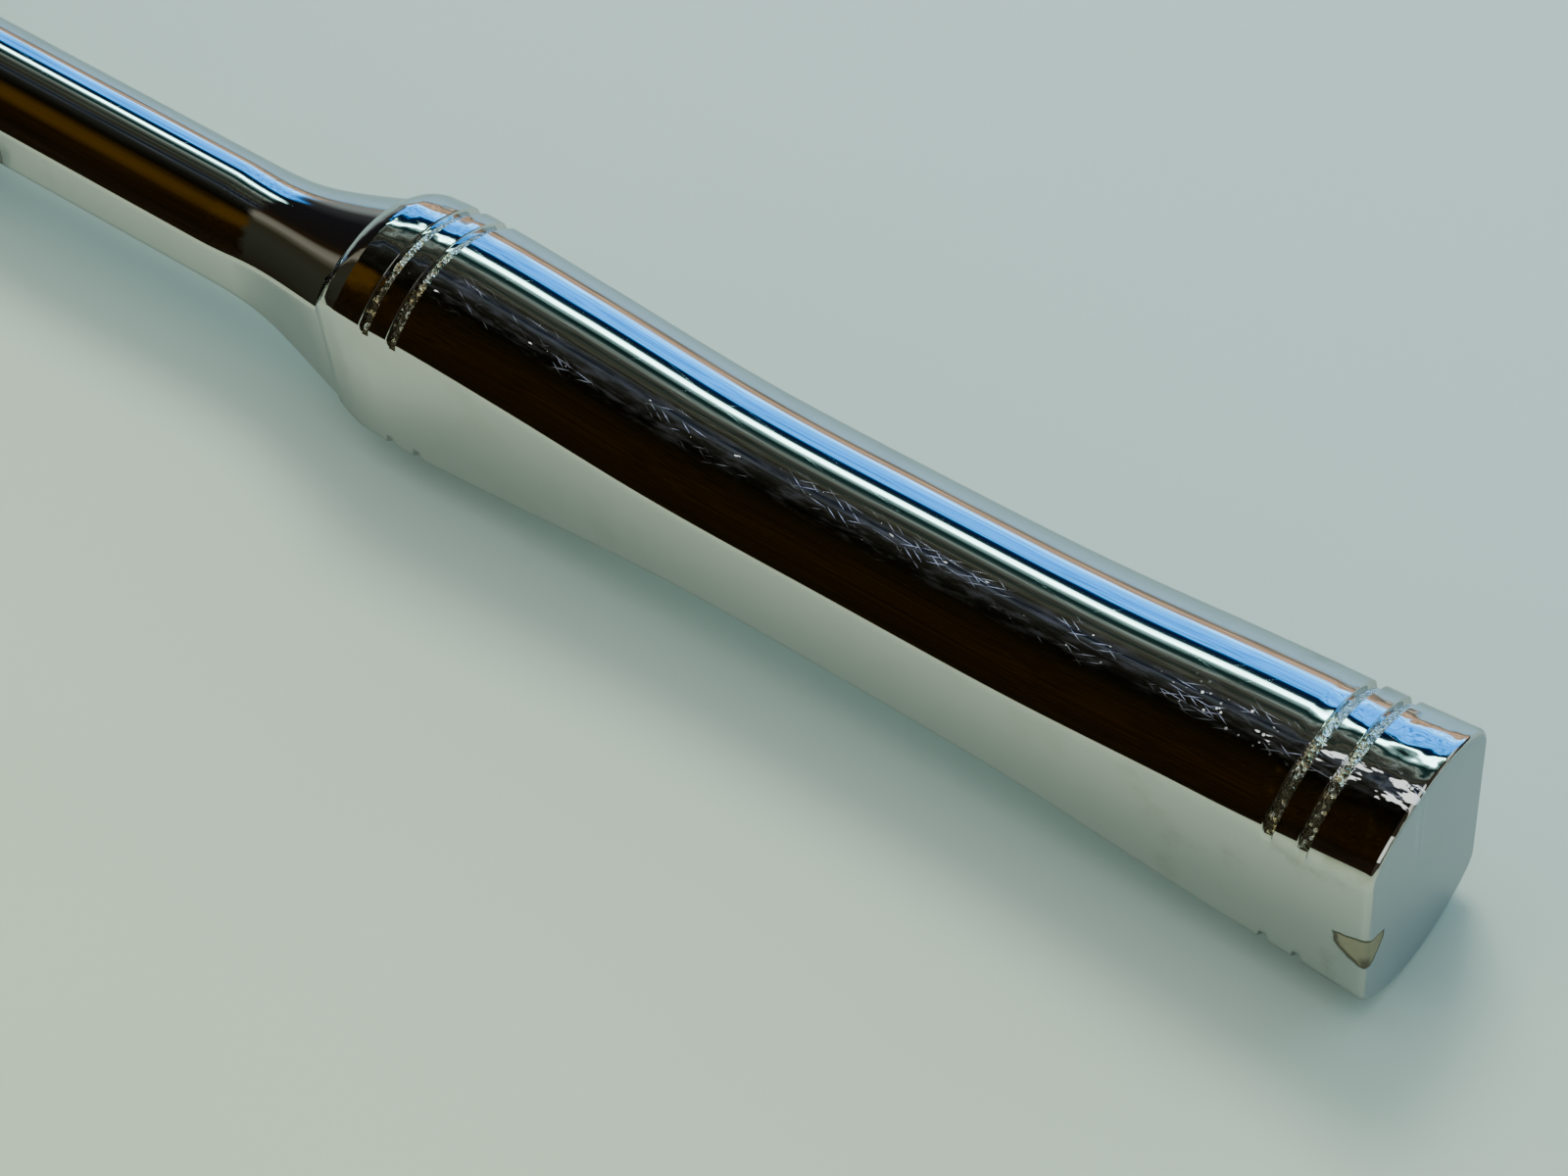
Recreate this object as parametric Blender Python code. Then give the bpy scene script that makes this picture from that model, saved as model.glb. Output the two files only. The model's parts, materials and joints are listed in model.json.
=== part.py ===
"""Half-inch-drive ratchet wrench with a chrome-plated forged handle.

Frame: the origin is the centre of the drive square's tip face. +Z leaves that face along the drive
axis, and +X runs along the handle to its butt end. Every piece is modelled in its rest state: the
selector lever is fully over, so one end of the pawl is in the gear, and the release button is out.
"""
import math

import bmesh
import bpy
import numpy as np

MM = 0.001

# Driving dimensions ---------------------------------------------------------------------------
SQUARE_SIZE = 12.7 * MM
SQUARE_TIP_BEVEL = 0.8 * MM
SQUARE_EDGE_BEVEL = 1.0 * MM
OVERALL_BACK_X = 257.0 * MM         # butt face
MID_Z = -27.5 * MM                  # mid-plane of the head and the handle
GAP = 0.3 * MM                      # gap between pieces that touch

# Head
HEAD_RADIUS = 21.0 * MM
TAIL_RADIUS = 14.5 * MM
TAIL_X = 29.0 * MM
HEAD_THICKNESS = 25.0 * MM
HEAD_TOP = MID_Z + HEAD_THICKNESS / 2
HEAD_BOTTOM = MID_Z - HEAD_THICKNESS / 2
HEAD_BEVEL = 1.2 * MM
BEVEL_MIDDLE = 0.3                  # where the bevel's middle ring lies, as a share of the bevel
RIM_WIDTH = 2.0 * MM                # rim left round the cover's recess
FLOOR_THICKNESS = 7.5 * MM
FLOOR_Z = HEAD_BOTTOM + FLOOR_THICKNESS

# Cover, gasket and screws
COVER_THICKNESS = 2.5 * MM
COVER_BOTTOM = HEAD_TOP - COVER_THICKNESS
GASKET_THICKNESS = 0.5 * MM
GASKET_WIDTH = 0.9 * MM
SEAT_Z = COVER_BOTTOM - GASKET_THICKNESS - 2 * GAP
SCREW_X = 28.5 * MM
SCREW_Y = 9.2 * MM
SCREW_RADIUS = 1.25 * MM
SCREW_HEAD_RADIUS = 2.2 * MM
SCREW_HEAD_DEPTH = 1.2 * MM
SCREW_LENGTH = 9.0 * MM
SCREW_POINT = 0.6 * MM
SCREW_FIT = 0.1 * MM                # radial gap of a screw or pin in the forging
SLOT_LENGTH = 2.6 * MM
SLOT_WIDTH = 0.5 * MM
SLOT_DEPTH = 0.7 * MM

# Drive gear
TEETH = 48
TIP_RADIUS = 16.0 * MM
ROOT_RADIUS = 14.65 * MM
TIP_LAND = 0.12                     # share of the pitch that is a flat on each tooth tip
GEAR_POCKET_RADIUS = 16.7 * MM
WASHER_THICKNESS = 0.8 * MM
GEAR_BOTTOM = FLOOR_Z + WASHER_THICKNESS + 2 * GAP
GEAR_THICKNESS = 11.9 * MM
GEAR_TOP = GEAR_BOTTOM + GEAR_THICKNESS
UPPER_JOURNAL_RADIUS = 10.4 * MM
LOWER_JOURNAL_RADIUS = 7.9 * MM
JOURNAL_FIT = 0.2 * MM
JOURNAL_TOP = HEAD_TOP + 0.4 * MM
JOURNAL_BOTTOM = HEAD_BOTTOM + 0.4 * MM
SEAL_WIDTH = 1.2 * MM
SEAL_DEPTH = 0.65 * MM
SEAL_FIT = 0.1 * MM                 # gap between a seal and its groove
SEAL_PROUD = 0.05 * MM
SEAL_ROUNDING = 0.3 * MM
LOWER_SEAL_Z = HEAD_BOTTOM + 2.4 * MM
UPPER_SEAL_Z = HEAD_TOP - 1.4 * MM
THRUST_WASHER_RADIUS = 14.0 * MM
WEAR_WASHER_RADIUS = 15.2 * MM
WASHER_FIT = 0.4 * MM               # gap between a washer and its journal

# Pawl, which rocks on its pin behind the gear
PAWL_PIVOT_X = 23.5 * MM
PAWL_ROCK = math.radians(4.0)       # each way from neutral
PAWL_BOTTOM = FLOOR_Z + 1.6 * MM
PAWL_TOP = GEAR_TOP - 0.4 * MM
PAWL_TOOTH_COUNT = 3
PAWL_FIRST_TIP = 3                  # gear tip, counted from the X axis, where the pawl's teeth start
PAWL_TIP_CLEARANCE = 0.25 * MM
PAWL_ROOT_CLEARANCE = 0.2 * MM
PAWL_END_RADIUS = 18.2 * MM
PAWL_BELLY_RADIUS = 16.9 * MM
PAWL_BACK_RADIUS = 6.35 * MM        # hollow back, struck from the lever's axis
PAWL_BACK_HALF_ANGLE = math.radians(50)
PAWL_PIN_RADIUS = 1.9 * MM
PAWL_PIN_DEPTH = 3.7 * MM           # how far the pin goes into the head's floor
PAWL_PIN_BEVEL = 0.3 * MM
PAWL_FIT = 0.2 * MM
PAWL_POCKET = ((9.0 * MM, 15.0 * MM), (15.2 * MM, 14.6 * MM), (30.0 * MM, 5.8 * MM))

# Selector lever
LEVER_X = 33.5 * MM
LEVER_SWING = math.radians(35)      # each way from neutral
STEM_RADIUS = 4.5 * MM
STEM_FIT = 0.15 * MM
STEM_POCKET_RADIUS = 7.0 * MM
STEM_TOP = COVER_BOTTOM - 0.9 * MM
PADDLE_TOP = HEAD_BOTTOM - 0.4 * MM
PADDLE_THICKNESS = 3.0 * MM
PADDLE_HUB_RADIUS = 7.2 * MM
PADDLE_END_RADIUS = 3.6 * MM
PADDLE_LENGTH = 21.0 * MM
PADDLE_BEVEL = 0.6 * MM
PADDLE_RIDGES = 3
RIDGE_PITCH = 2.0 * MM
RIDGE_HALF_WIDTH = 0.5 * MM
RIDGE_DEPTH = 0.5 * MM
FIRST_RIDGE_X = 18.4 * MM           # from the lever's axis
LEVER_SEAL_Z = HEAD_BOTTOM + 3.5 * MM
STEM_BEVEL = 0.4 * MM
LEVER_RING_THICKNESS = 0.7 * MM
LEVER_RING_RADIUS = 5.8 * MM
LEVER_RING_GROOVE = 0.7 * MM
LEVER_RING_FIT = 0.2 * MM
LEVER_RING_MOUTH = 2.4 * MM
PLUNGER_Z = -25.0 * MM
PLUNGER_RADIUS = 1.6 * MM
PLUNGER_BACK = 1.2 * MM             # distances from the lever's axis
PLUNGER_TIP = 6.0 * MM
PLUNGER_HOLLOW_RADIUS = 1.05 * MM
PLUNGER_HOLLOW_END = 4.0 * MM
PLUNGER_BORE_END = -2.5 * MM
PLUNGER_FIT = 0.15 * MM
PLUNGER_NOSE = 1.0 * MM
PLUNGER_SPRING_RADIUS = 0.7 * MM
PLUNGER_SPRING_WIRE = 0.17 * MM

# Quick release: button, rod, spring and ball on the drive axis
BUTTON_RADIUS = 4.3 * MM
BUTTON_BOTTOM = HEAD_BOTTOM - 2.9 * MM
BUTTON_TOP = HEAD_BOTTOM + 3.5 * MM
CHAMBER_RADIUS = 4.6 * MM
CHAMBER_TOP = HEAD_BOTTOM + 10.0 * MM
ROD_RADIUS = 2.6 * MM
ROD_FIT = 0.15 * MM
ROD_NECK_RADIUS = 1.5 * MM
ROD_WAIST_RADIUS = 1.33 * MM
ROD_SOCKET_DEPTH = 4.0 * MM
ROD_SHOULDER_GAP = 3.0 * MM         # left below the spring chamber's top with the button pressed
WAIST_ENTRY = 2.2 * MM              # heights on the rod, measured from the waist's top
WAIST_LENGTH = 0.5 * MM
WAIST_RAMP = 2.65 * MM
ROD_LAND = 1.2 * MM
ROD_BEVEL = 0.3 * MM
BUTTON_DOME = 0.8 * MM
SPRING_RADIUS = 3.55 * MM
SPRING_WIRE = 0.35 * MM
SPRING_END_GAP = 0.15 * MM
BUTTON_TRAVEL = 2.5 * MM
BALL_RADIUS = 2.2 * MM
BALL_Z = -6.8 * MM
BALL_PROUD = 0.9 * MM
BALL_SHELF = SQUARE_SIZE / 2 + BALL_PROUD - BALL_RADIUS
BORE_TOP = -2.2 * MM

# Handle: half sizes
SHAFT_HALF_WIDTH = 7.1 * MM
SHAFT_HALF_HEIGHT = 7.1 * MM
SHAFT_CROWN = 2.5 * MM
NECK_START_X = 30.0 * MM
NECK_END_X = 50.0 * MM
NECK_HALF_WIDTH = 12.0 * MM
NECK_HALF_HEIGHT = 11.0 * MM
GRIP_CROWN = 4.4 * MM
FLARE_START_X = 103.0 * MM
FLARE_END_X = 127.0 * MM
SCOOP_START_X = 104.0 * MM
SCOOP_END_X = 122.0 * MM
SCOOP_RISE = 4.4 * MM
SHOULDER_X = 119.6 * MM             # crease between the shaft's scoop and the grip's round shoulder
SHOULDER_LENGTH = 5.0 * MM
EDGE_RADIUS = 1.0 * MM
BUTT_BEVEL = 0.9 * MM
GRIP_HALF_WIDTHS = (                # (distance from the butt, half width)
    (0.0 * MM, 10.8 * MM),
    (24.0 * MM, 10.5 * MM),
    (66.0 * MM, 10.1 * MM),
    (111.0 * MM, 10.25 * MM),
    (134.0 * MM, 10.5 * MM),
)
GRIP_HALF_HEIGHTS = (               # (distance from the butt, half height at the crown)
    (0.0 * MM, 15.9 * MM),
    (9.5 * MM, 14.7 * MM),
    (24.0 * MM, 13.5 * MM),
    (43.0 * MM, 11.75 * MM),
    (66.0 * MM, 11.2 * MM),
    (90.0 * MM, 11.3 * MM),
    (111.0 * MM, 13.25 * MM),
    (124.0 * MM, 14.25 * MM),
    (134.0 * MM, 14.4 * MM),
)
GROOVES = (8.1 * MM, 12.1 * MM, 125.3 * MM, 129.2 * MM)   # distances from the butt
GROOVE_WIDTH = 1.5 * MM
GROOVE_DEPTH = 0.55 * MM
GROOVE_FLANK = 0.2 * MM
GROOVE_CROWN = 1.2                  # extra crown of a groove's floor, as a share of its depth

ROUND = 36                          # sides of a large round piece
SMALL_ROUND = 16
COLOURS = {                         # base colour, roughness, metallic
    "chrome": ((0.62, 0.63, 0.65), 0.08, 1.0),
    "steel": ((0.45, 0.46, 0.48), 0.3, 1.0),
    "black_oxide": ((0.05, 0.05, 0.055), 0.45, 0.8),
    "spring_steel": ((0.3, 0.3, 0.32), 0.35, 1.0),
    "rubber": ((0.02, 0.02, 0.02), 0.6, 0.0),
    "fibre": ((0.12, 0.09, 0.06), 0.8, 0.0),
    "bronze": ((0.55, 0.38, 0.18), 0.4, 1.0),
}


# Tools ----------------------------------------------------------------------------------------
def material(name, finish):
    """A Principled material of its own for one piece."""
    colour, roughness, metallic = COLOURS[finish]
    made = bpy.data.materials.new(name)
    made.use_nodes = True
    shader = made.node_tree.nodes["Principled BSDF"]
    shader.inputs["Base Color"].default_value = (*colour, 1.0)
    shader.inputs["Roughness"].default_value = roughness
    shader.inputs["Metallic"].default_value = metallic
    return made


def add_object(name, shape, finish=None, at=(0.0, 0.0, 0.0), turn=0.0):
    """Link a bmesh as an object; without a finish it is a hidden cutter."""
    bmesh.ops.recalc_face_normals(shape, faces=shape.faces)
    mesh = bpy.data.meshes.new(name)
    shape.to_mesh(mesh)
    shape.free()
    made = bpy.data.objects.new(name, mesh)
    made.location = at
    made.rotation_euler.z = turn
    bpy.context.collection.objects.link(made)
    if finish is None:
        made.hide_render = True
        made.display_type = "WIRE"
    else:
        mesh.materials.append(material(name, finish))
        mesh.shade_smooth()
        mesh.set_sharp_from_angle(angle=math.radians(28))
    return made


def combine(target, other, operation):
    """Add an exact Boolean of another object to the target."""
    step = target.modifiers.new(f"{operation.lower()}_{other.name}", "BOOLEAN")
    step.object = other
    step.operation = operation
    step.solver = "EXACT"
    return step


def cut(target, *cutters):
    for cutter in cutters:
        combine(target, cutter, "DIFFERENCE")


def loft(shape, rings, closed=False):
    """Skin rings of points that have equal counts, and cap the ends unless the loft closes."""
    rows = [[shape.verts.new(point) for point in ring] for ring in rings]
    pairs = list(zip(rows, rows[1:] + (rows[:1] if closed else [])))
    for near, far in pairs:
        for index in range(len(near)):
            following = (index + 1) % len(near)
            shape.faces.new((near[index], near[following], far[following], far[index]))
    if not closed:
        shape.faces.new(list(reversed(rows[0])))
        shape.faces.new(rows[-1])
    return shape


def circle(radius, count, x=0.0, y=0.0):
    angles = [2 * math.pi * step / count for step in range(count)]
    return [(x + radius * math.cos(angle), y + radius * math.sin(angle)) for angle in angles]


def prism(shape, outline, bottom, top):
    """A straight solid between two heights from an outline in plan."""
    return loft(shape, [[(x, y, z) for x, y in outline] for z in (bottom, top)])


def turned(shape, profile, count, axis="z"):
    """A solid of revolution; a profile point is (radius, height), and both ends are on the axis."""
    rings = []
    for radius, height in profile:
        if radius == 0:
            rings.append([shape.verts.new(place(0.0, 0.0, height, axis))])
        else:
            rings.append([shape.verts.new(place(x, y, height, axis)) for x, y in circle(radius, count)])
    for near, far in zip(rings, rings[1:]):
        for index in range(count):
            following = (index + 1) % count
            corners = [near[index % len(near)], near[following % len(near)],
                       far[following % len(far)], far[index % len(far)]]
            shape.faces.new(list(dict.fromkeys(corners)))
    return shape


def place(x, y, height, axis):
    """A point of a turned piece whose axis is Z, X or Y."""
    return {"z": (x, y, height), "x": (height, x, y), "y": (y, height, x)}[axis]


def washer(shape, inner, outer, bottom, top, count=ROUND):
    """A flat ring."""
    corners = ((inner, bottom), (outer, bottom), (outer, top), (inner, top))
    return loft(shape, [[(x, y, z) for x, y in circle(radius, count)] for radius, z in corners], True)


def cylinder_cutter(name, radius, bottom, top, x=0.0, y=0.0, count=ROUND):
    return add_object(name, prism(bmesh.new(), circle(radius, count), bottom, top), at=(x, y, 0.0))


def coil(shape, radius, wire, start, end, turns, axis="z", sides=5, steps=12):
    """A helical spring with closed ends, between two heights."""
    count = turns * steps
    closed_pitch = 2.1 * wire           # of the two end turns, which nearly touch
    rings = []
    for index in range(count + 1):
        angle = 2 * math.pi * index / steps
        share = min(max((index - steps) / (count - 2 * steps), 0.0), 1.0)
        lift = closed_pitch * (min(index, steps) + max(index - count + steps, 0)) / steps
        room = end - start - 2 * wire - 2 * closed_pitch
        height = start + wire + lift + room * share
        ring = []
        for side in range(sides):
            around = 2 * math.pi * side / sides
            reach = radius + wire * math.cos(around)
            spot = (reach * math.cos(angle), reach * math.sin(angle), height + wire * math.sin(around))
            ring.append(place(*spot, axis))
        rings.append(ring)
    return loft(shape, rings)


def teardrop(inset, steps=28):
    """Plan outline of the head: a large circle and a small one under one taut line."""
    large = HEAD_RADIUS - inset
    small = TAIL_RADIUS - inset
    lean = math.asin((large - small) / TAIL_X)
    touch = math.pi / 2 - lean
    points = []
    for step in range(steps + 1):
        angle = touch + (2 * math.pi - 2 * touch) * step / steps
        points.append((large * math.cos(angle), large * math.sin(angle)))
    half = steps // 2
    for step in range(half + 1):
        angle = -touch + 2 * touch * step / half
        points.append((TAIL_X + small * math.cos(angle), small * math.sin(angle)))
    return points


# Handle forging -------------------------------------------------------------------------------
def ease(value, start, end):
    share = min(max((value - start) / (end - start), 0.0), 1.0)
    return share * share * (3 - 2 * share)


def smooth_curve(points, where):
    """The height at one place of a smooth curve through (place, height) points."""
    places = [point[0] for point in points]
    heights = [point[1] for point in points]
    slopes = np.gradient(heights, places)
    index = int(np.clip(np.searchsorted(places, where) - 1, 0, len(places) - 2))
    span = places[index + 1] - places[index]
    t = float(np.clip((where - places[index]) / span, 0.0, 1.0))
    return (heights[index] * (1 + 2 * t) * (1 - t) ** 2 + heights[index + 1] * t * t * (3 - 2 * t)
            + span * (slopes[index] * t * (1 - t) ** 2 + slopes[index + 1] * t * t * (t - 1)))


def handle_half_width(x):
    neck = (NECK_HALF_WIDTH - SHAFT_HALF_WIDTH) * (1 - ease(x, NECK_START_X, NECK_END_X))
    grip = smooth_curve(GRIP_HALF_WIDTHS, OVERALL_BACK_X - x)
    return SHAFT_HALF_WIDTH + neck + (grip - SHAFT_HALF_WIDTH) * ease(x, FLARE_START_X, FLARE_END_X)


def shoulder_share(x):
    """How far the grip's round shoulder has risen: 0 on the shaft, 1 on the grip."""
    share = min(max((x - SHOULDER_X) / SHOULDER_LENGTH, 0.0), 1.0)
    return math.sqrt(1 - (1 - share) ** 2)


def handle_half_height(x):
    """Half height to the top of the crown, without the grooves."""
    neck = (NECK_HALF_HEIGHT - SHAFT_HALF_HEIGHT) * (1 - ease(x, NECK_START_X, NECK_END_X))
    scoop = SCOOP_RISE * ease(min(x, SHOULDER_X), SCOOP_START_X, SCOOP_END_X)
    shaft = SHAFT_HALF_HEIGHT + neck + scoop
    grip = smooth_curve(GRIP_HALF_HEIGHTS, OVERALL_BACK_X - x)
    return shaft + (grip - shaft) * shoulder_share(x)


def handle_section(half_width, half_height, crown, arc_steps=7):
    """A flat-sided section with crowned top and bottom and small rounded edges, from the +Y side."""
    arc_radius = (half_width ** 2 + crown ** 2) / (2 * crown)
    centre = half_height - arc_radius
    reach = arc_radius - EDGE_RADIUS
    edge_centre = centre + math.sqrt(reach ** 2 - (half_width - EDGE_RADIUS) ** 2)
    edge_turn = math.atan2(edge_centre - centre, half_width - EDGE_RADIUS)
    quarter = []
    for share in (0.0, 0.5):
        angle = edge_turn * share
        quarter.append((half_width - EDGE_RADIUS + EDGE_RADIUS * math.cos(angle),
                        edge_centre + EDGE_RADIUS * math.sin(angle)))
    for step in range(arc_steps // 2 + 1):
        angle = edge_turn + (math.pi / 2 - edge_turn) * step / (arc_steps / 2)
        quarter.append((arc_radius * math.cos(angle), centre + arc_radius * math.sin(angle)))
    top = quarter + [(-y, z) for y, z in reversed(quarter)]
    return top + [(y, -z) for y, z in reversed(top)]


def handle_stations():
    """(x, cut) along the handle; cut is how deep a groove has lowered the crown there."""
    stations = [(float(x), 0.0) for x in np.linspace(NECK_START_X, NECK_END_X, 6)]
    stations += [(float(x), 0.0) for x in np.linspace(FLARE_START_X, SHOULDER_X - 2 * MM, 7)]
    stations += [(SHOULDER_X + SHOULDER_LENGTH * share, 0.0) for share in (0.0, 0.03, 0.12, 0.3, 0.6)]
    for from_butt in GROOVES:
        for side in (-1, 1):
            lip = OVERALL_BACK_X - from_butt + side * GROOVE_WIDTH / 2
            stations.append((lip, 0.0))
            stations.append((lip - side * GROOVE_FLANK, GROOVE_DEPTH))
    between = np.linspace(OVERALL_BACK_X - 122 * MM, OVERALL_BACK_X - 15 * MM, 15)
    stations += [(float(x), 0.0) for x in between]
    stations += [(OVERALL_BACK_X - 5 * MM, 0.0), (OVERALL_BACK_X - BUTT_BEVEL, 0.0)]
    return sorted(stations)


def handle_bar():
    """The shaft and grip, from inside the head to the butt."""
    rings = []
    for x, groove in handle_stations():
        width = handle_half_width(x)
        crown = SHAFT_CROWN + (GRIP_CROWN - SHAFT_CROWN) * shoulder_share(x)
        section = handle_section(width, handle_half_height(x) - groove, crown + groove * GROOVE_CROWN)
        rings.append([(x, y, MID_Z + z) for y, z in section])
    end = handle_section(GRIP_HALF_WIDTHS[0][1] - BUTT_BEVEL, GRIP_HALF_HEIGHTS[0][1] - BUTT_BEVEL,
                         GRIP_CROWN)
    rings.append([(OVERALL_BACK_X, y, MID_Z + z) for y, z in end])
    return loft(bmesh.new(), rings)


def bevelled_head():
    """The head's body, with its two outlines bevelled."""
    rings = []
    middle = HEAD_BEVEL * BEVEL_MIDDLE
    for inset, z in ((HEAD_BEVEL, HEAD_BOTTOM), (middle, HEAD_BOTTOM + middle),
                     (0.0, HEAD_BOTTOM + HEAD_BEVEL), (0.0, HEAD_TOP - HEAD_BEVEL),
                     (middle, HEAD_TOP - middle), (HEAD_BEVEL, HEAD_TOP)):
        rings.append([(x, y, z) for x, y in teardrop(inset)])
    return loft(bmesh.new(), rings)


def make_handle():
    over = HEAD_TOP + 2 * MM
    under = HEAD_BOTTOM - 2 * MM
    handle = add_object("handle_forging", handle_bar(), "chrome")
    head = add_object("head_body", bevelled_head())
    combine(handle, head, "UNION")
    recess = add_object("cutter_recess", prism(bmesh.new(), teardrop(RIM_WIDTH), SEAT_Z, over))
    pocket_outline = list(PAWL_POCKET) + [(x, -y) for x, y in reversed(PAWL_POCKET)]
    pawl_pocket = add_object("cutter_pawl_pocket", prism(bmesh.new(), pocket_outline, FLOOR_Z, over))
    cut(handle, recess, pawl_pocket,
        cylinder_cutter("cutter_gear_pocket", GEAR_POCKET_RADIUS, FLOOR_Z, over),
        cylinder_cutter("cutter_stem_pocket", STEM_POCKET_RADIUS, FLOOR_Z, over, LEVER_X),
        cylinder_cutter("cutter_journal_bore", LOWER_JOURNAL_RADIUS + JOURNAL_FIT, under, over),
        cylinder_cutter("cutter_stem_bore", STEM_RADIUS + STEM_FIT, under, over, LEVER_X),
        cylinder_cutter("cutter_pin_bore", PAWL_PIN_RADIUS + SCREW_FIT, FLOOR_Z - PAWL_PIN_DEPTH - GAP, over,
                        PAWL_PIVOT_X, count=SMALL_ROUND))
    for side in (-1, 1):
        cut(handle, cylinder_cutter(f"cutter_tapping_{side}", SCREW_RADIUS + SCREW_FIT,
                                    HEAD_TOP - SCREW_LENGTH - 1 * MM, over, SCREW_X, side * SCREW_Y,
                                    SMALL_ROUND))


# Cover ----------------------------------------------------------------------------------------
def screw_head_cone(extra):
    """Profile of a countersunk head, with a clearance added to its radii."""
    return [(0.0, HEAD_TOP - SCREW_HEAD_DEPTH - extra),
            (SCREW_RADIUS + extra, HEAD_TOP - SCREW_HEAD_DEPTH - extra),
            (SCREW_HEAD_RADIUS + extra, HEAD_TOP)]


def make_cover():
    outline = teardrop(RIM_WIDTH + GAP)
    cover = add_object("cover_plate", prism(bmesh.new(), outline, COVER_BOTTOM, HEAD_TOP), "chrome")
    cut(cover, cylinder_cutter("cutter_cover_bore", UPPER_JOURNAL_RADIUS + JOURNAL_FIT,
                               COVER_BOTTOM - 2 * MM, HEAD_TOP + 2 * MM))
    for side in (-1, 1):
        profile = [(0.0, COVER_BOTTOM - 1 * MM), (SCREW_RADIUS + GAP, COVER_BOTTOM - 1 * MM)]
        profile += [(radius, height) for radius, height in screw_head_cone(GAP)[1:]]
        profile += [(SCREW_HEAD_RADIUS + GAP, HEAD_TOP + 1 * MM), (0.0, HEAD_TOP + 1 * MM)]
        hole = add_object(f"cutter_screw_{side}", turned(bmesh.new(), profile, SMALL_ROUND),
                          at=(SCREW_X, side * SCREW_Y, 0.0))
        cut(cover, hole)
    rings = [[(x, y, z) for x, y in teardrop(inset)]
             for inset, z in ((RIM_WIDTH + GAP, SEAT_Z + GAP), (RIM_WIDTH + GAP, COVER_BOTTOM - GAP),
                              (RIM_WIDTH + GAP + GASKET_WIDTH, COVER_BOTTOM - GAP),
                              (RIM_WIDTH + GAP + GASKET_WIDTH, SEAT_Z + GAP))]
    add_object("cover_gasket", loft(bmesh.new(), rings, True), "fibre")


def make_cover_screws():
    """Two countersunk screws with cross slots."""
    profile = [(0.0, HEAD_TOP - SCREW_LENGTH), (SCREW_RADIUS * 0.7, HEAD_TOP - SCREW_LENGTH),
               (SCREW_RADIUS, HEAD_TOP - SCREW_LENGTH + SCREW_POINT)]
    profile += screw_head_cone(0.0)[1:] + [(0.0, HEAD_TOP)]
    for side, name in ((-1, "cover_screw_right"), (1, "cover_screw_left")):
        where = (SCREW_X, side * SCREW_Y, 0.0)
        screw = add_object(name, turned(bmesh.new(), profile, SMALL_ROUND), "black_oxide", at=where)
        for index, (width, depth) in enumerate(((SLOT_LENGTH, SLOT_WIDTH), (SLOT_WIDTH, SLOT_LENGTH))):
            slot = [(-width / 2, -depth / 2), (width / 2, -depth / 2),
                    (width / 2, depth / 2), (-width / 2, depth / 2)]
            cut(screw, add_object(f"cutter_slot_{name}_{index}",
                                  prism(bmesh.new(), slot, HEAD_TOP - SLOT_DEPTH, HEAD_TOP + 1 * MM),
                                  at=where))


# Drive gear -----------------------------------------------------------------------------------
def gear_outline():
    """Symmetrical V teeth with a narrow land on each tip; one tip is on the X axis."""
    pitch = 2 * math.pi / TEETH
    points = []
    for tooth in range(TEETH):
        for share, radius in ((-TIP_LAND / 2, TIP_RADIUS), (TIP_LAND / 2, TIP_RADIUS), (0.5, ROOT_RADIUS)):
            angle = (tooth + share) * pitch
            points.append((radius * math.cos(angle), radius * math.sin(angle)))
    return points


def square_outline(size, corner):
    half = size / 2
    inner = half - corner
    return [(half, -inner), (half, inner), (inner, half), (-inner, half),
            (-half, inner), (-half, -inner), (-inner, -half), (inner, -half)]


def make_drive_gear():
    gear = add_object("drive_gear", prism(bmesh.new(), gear_outline(), GEAR_BOTTOM, GEAR_TOP), "steel")
    journals = [(0.0, JOURNAL_BOTTOM), (LOWER_JOURNAL_RADIUS, JOURNAL_BOTTOM)]
    journals += seal_groove(LOWER_JOURNAL_RADIUS, LOWER_SEAL_Z)
    journals += [(LOWER_JOURNAL_RADIUS, MID_Z), (UPPER_JOURNAL_RADIUS, MID_Z)]
    journals += seal_groove(UPPER_JOURNAL_RADIUS, UPPER_SEAL_Z)
    journals += [(UPPER_JOURNAL_RADIUS, JOURNAL_TOP), (0.0, JOURNAL_TOP)]
    combine(gear, add_object("gear_journals", turned(bmesh.new(), journals, ROUND)), "UNION")
    square = loft(bmesh.new(), [
        [(x, y, MID_Z) for x, y in square_outline(SQUARE_SIZE, SQUARE_EDGE_BEVEL)],
        [(x, y, -SQUARE_TIP_BEVEL) for x, y in square_outline(SQUARE_SIZE, SQUARE_EDGE_BEVEL)],
        [(x, y, 0.0) for x, y in square_outline(SQUARE_SIZE - 2 * SQUARE_TIP_BEVEL, SQUARE_EDGE_BEVEL)],
    ])
    combine(gear, add_object("gear_square", square), "UNION")
    under = JOURNAL_BOTTOM - 2 * MM
    ball_hole = turned(bmesh.new(), [(0.0, -SQUARE_SIZE), (BALL_RADIUS + ROD_FIT, -SQUARE_SIZE),
                                     (BALL_RADIUS + ROD_FIT, 0.0), (0.0, 0.0)], SMALL_ROUND, "y")
    cut(gear, cylinder_cutter("cutter_rod_bore", ROD_RADIUS + ROD_FIT, under, BORE_TOP, count=SMALL_ROUND),
        cylinder_cutter("cutter_spring_chamber", CHAMBER_RADIUS, under, CHAMBER_TOP, count=SMALL_ROUND),
        add_object("cutter_ball_hole", ball_hole, at=(0.0, 0.0, BALL_Z)))


def seal_groove(radius, middle):
    """Profile points of a groove for a seal in a round piece, from the bottom up."""
    low = middle - SEAL_WIDTH / 2 - SEAL_FIT
    high = middle + SEAL_WIDTH / 2 + SEAL_FIT
    floor = radius - SEAL_DEPTH
    return [(radius, low), (floor, low), (floor, high), (radius, high)]


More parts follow.
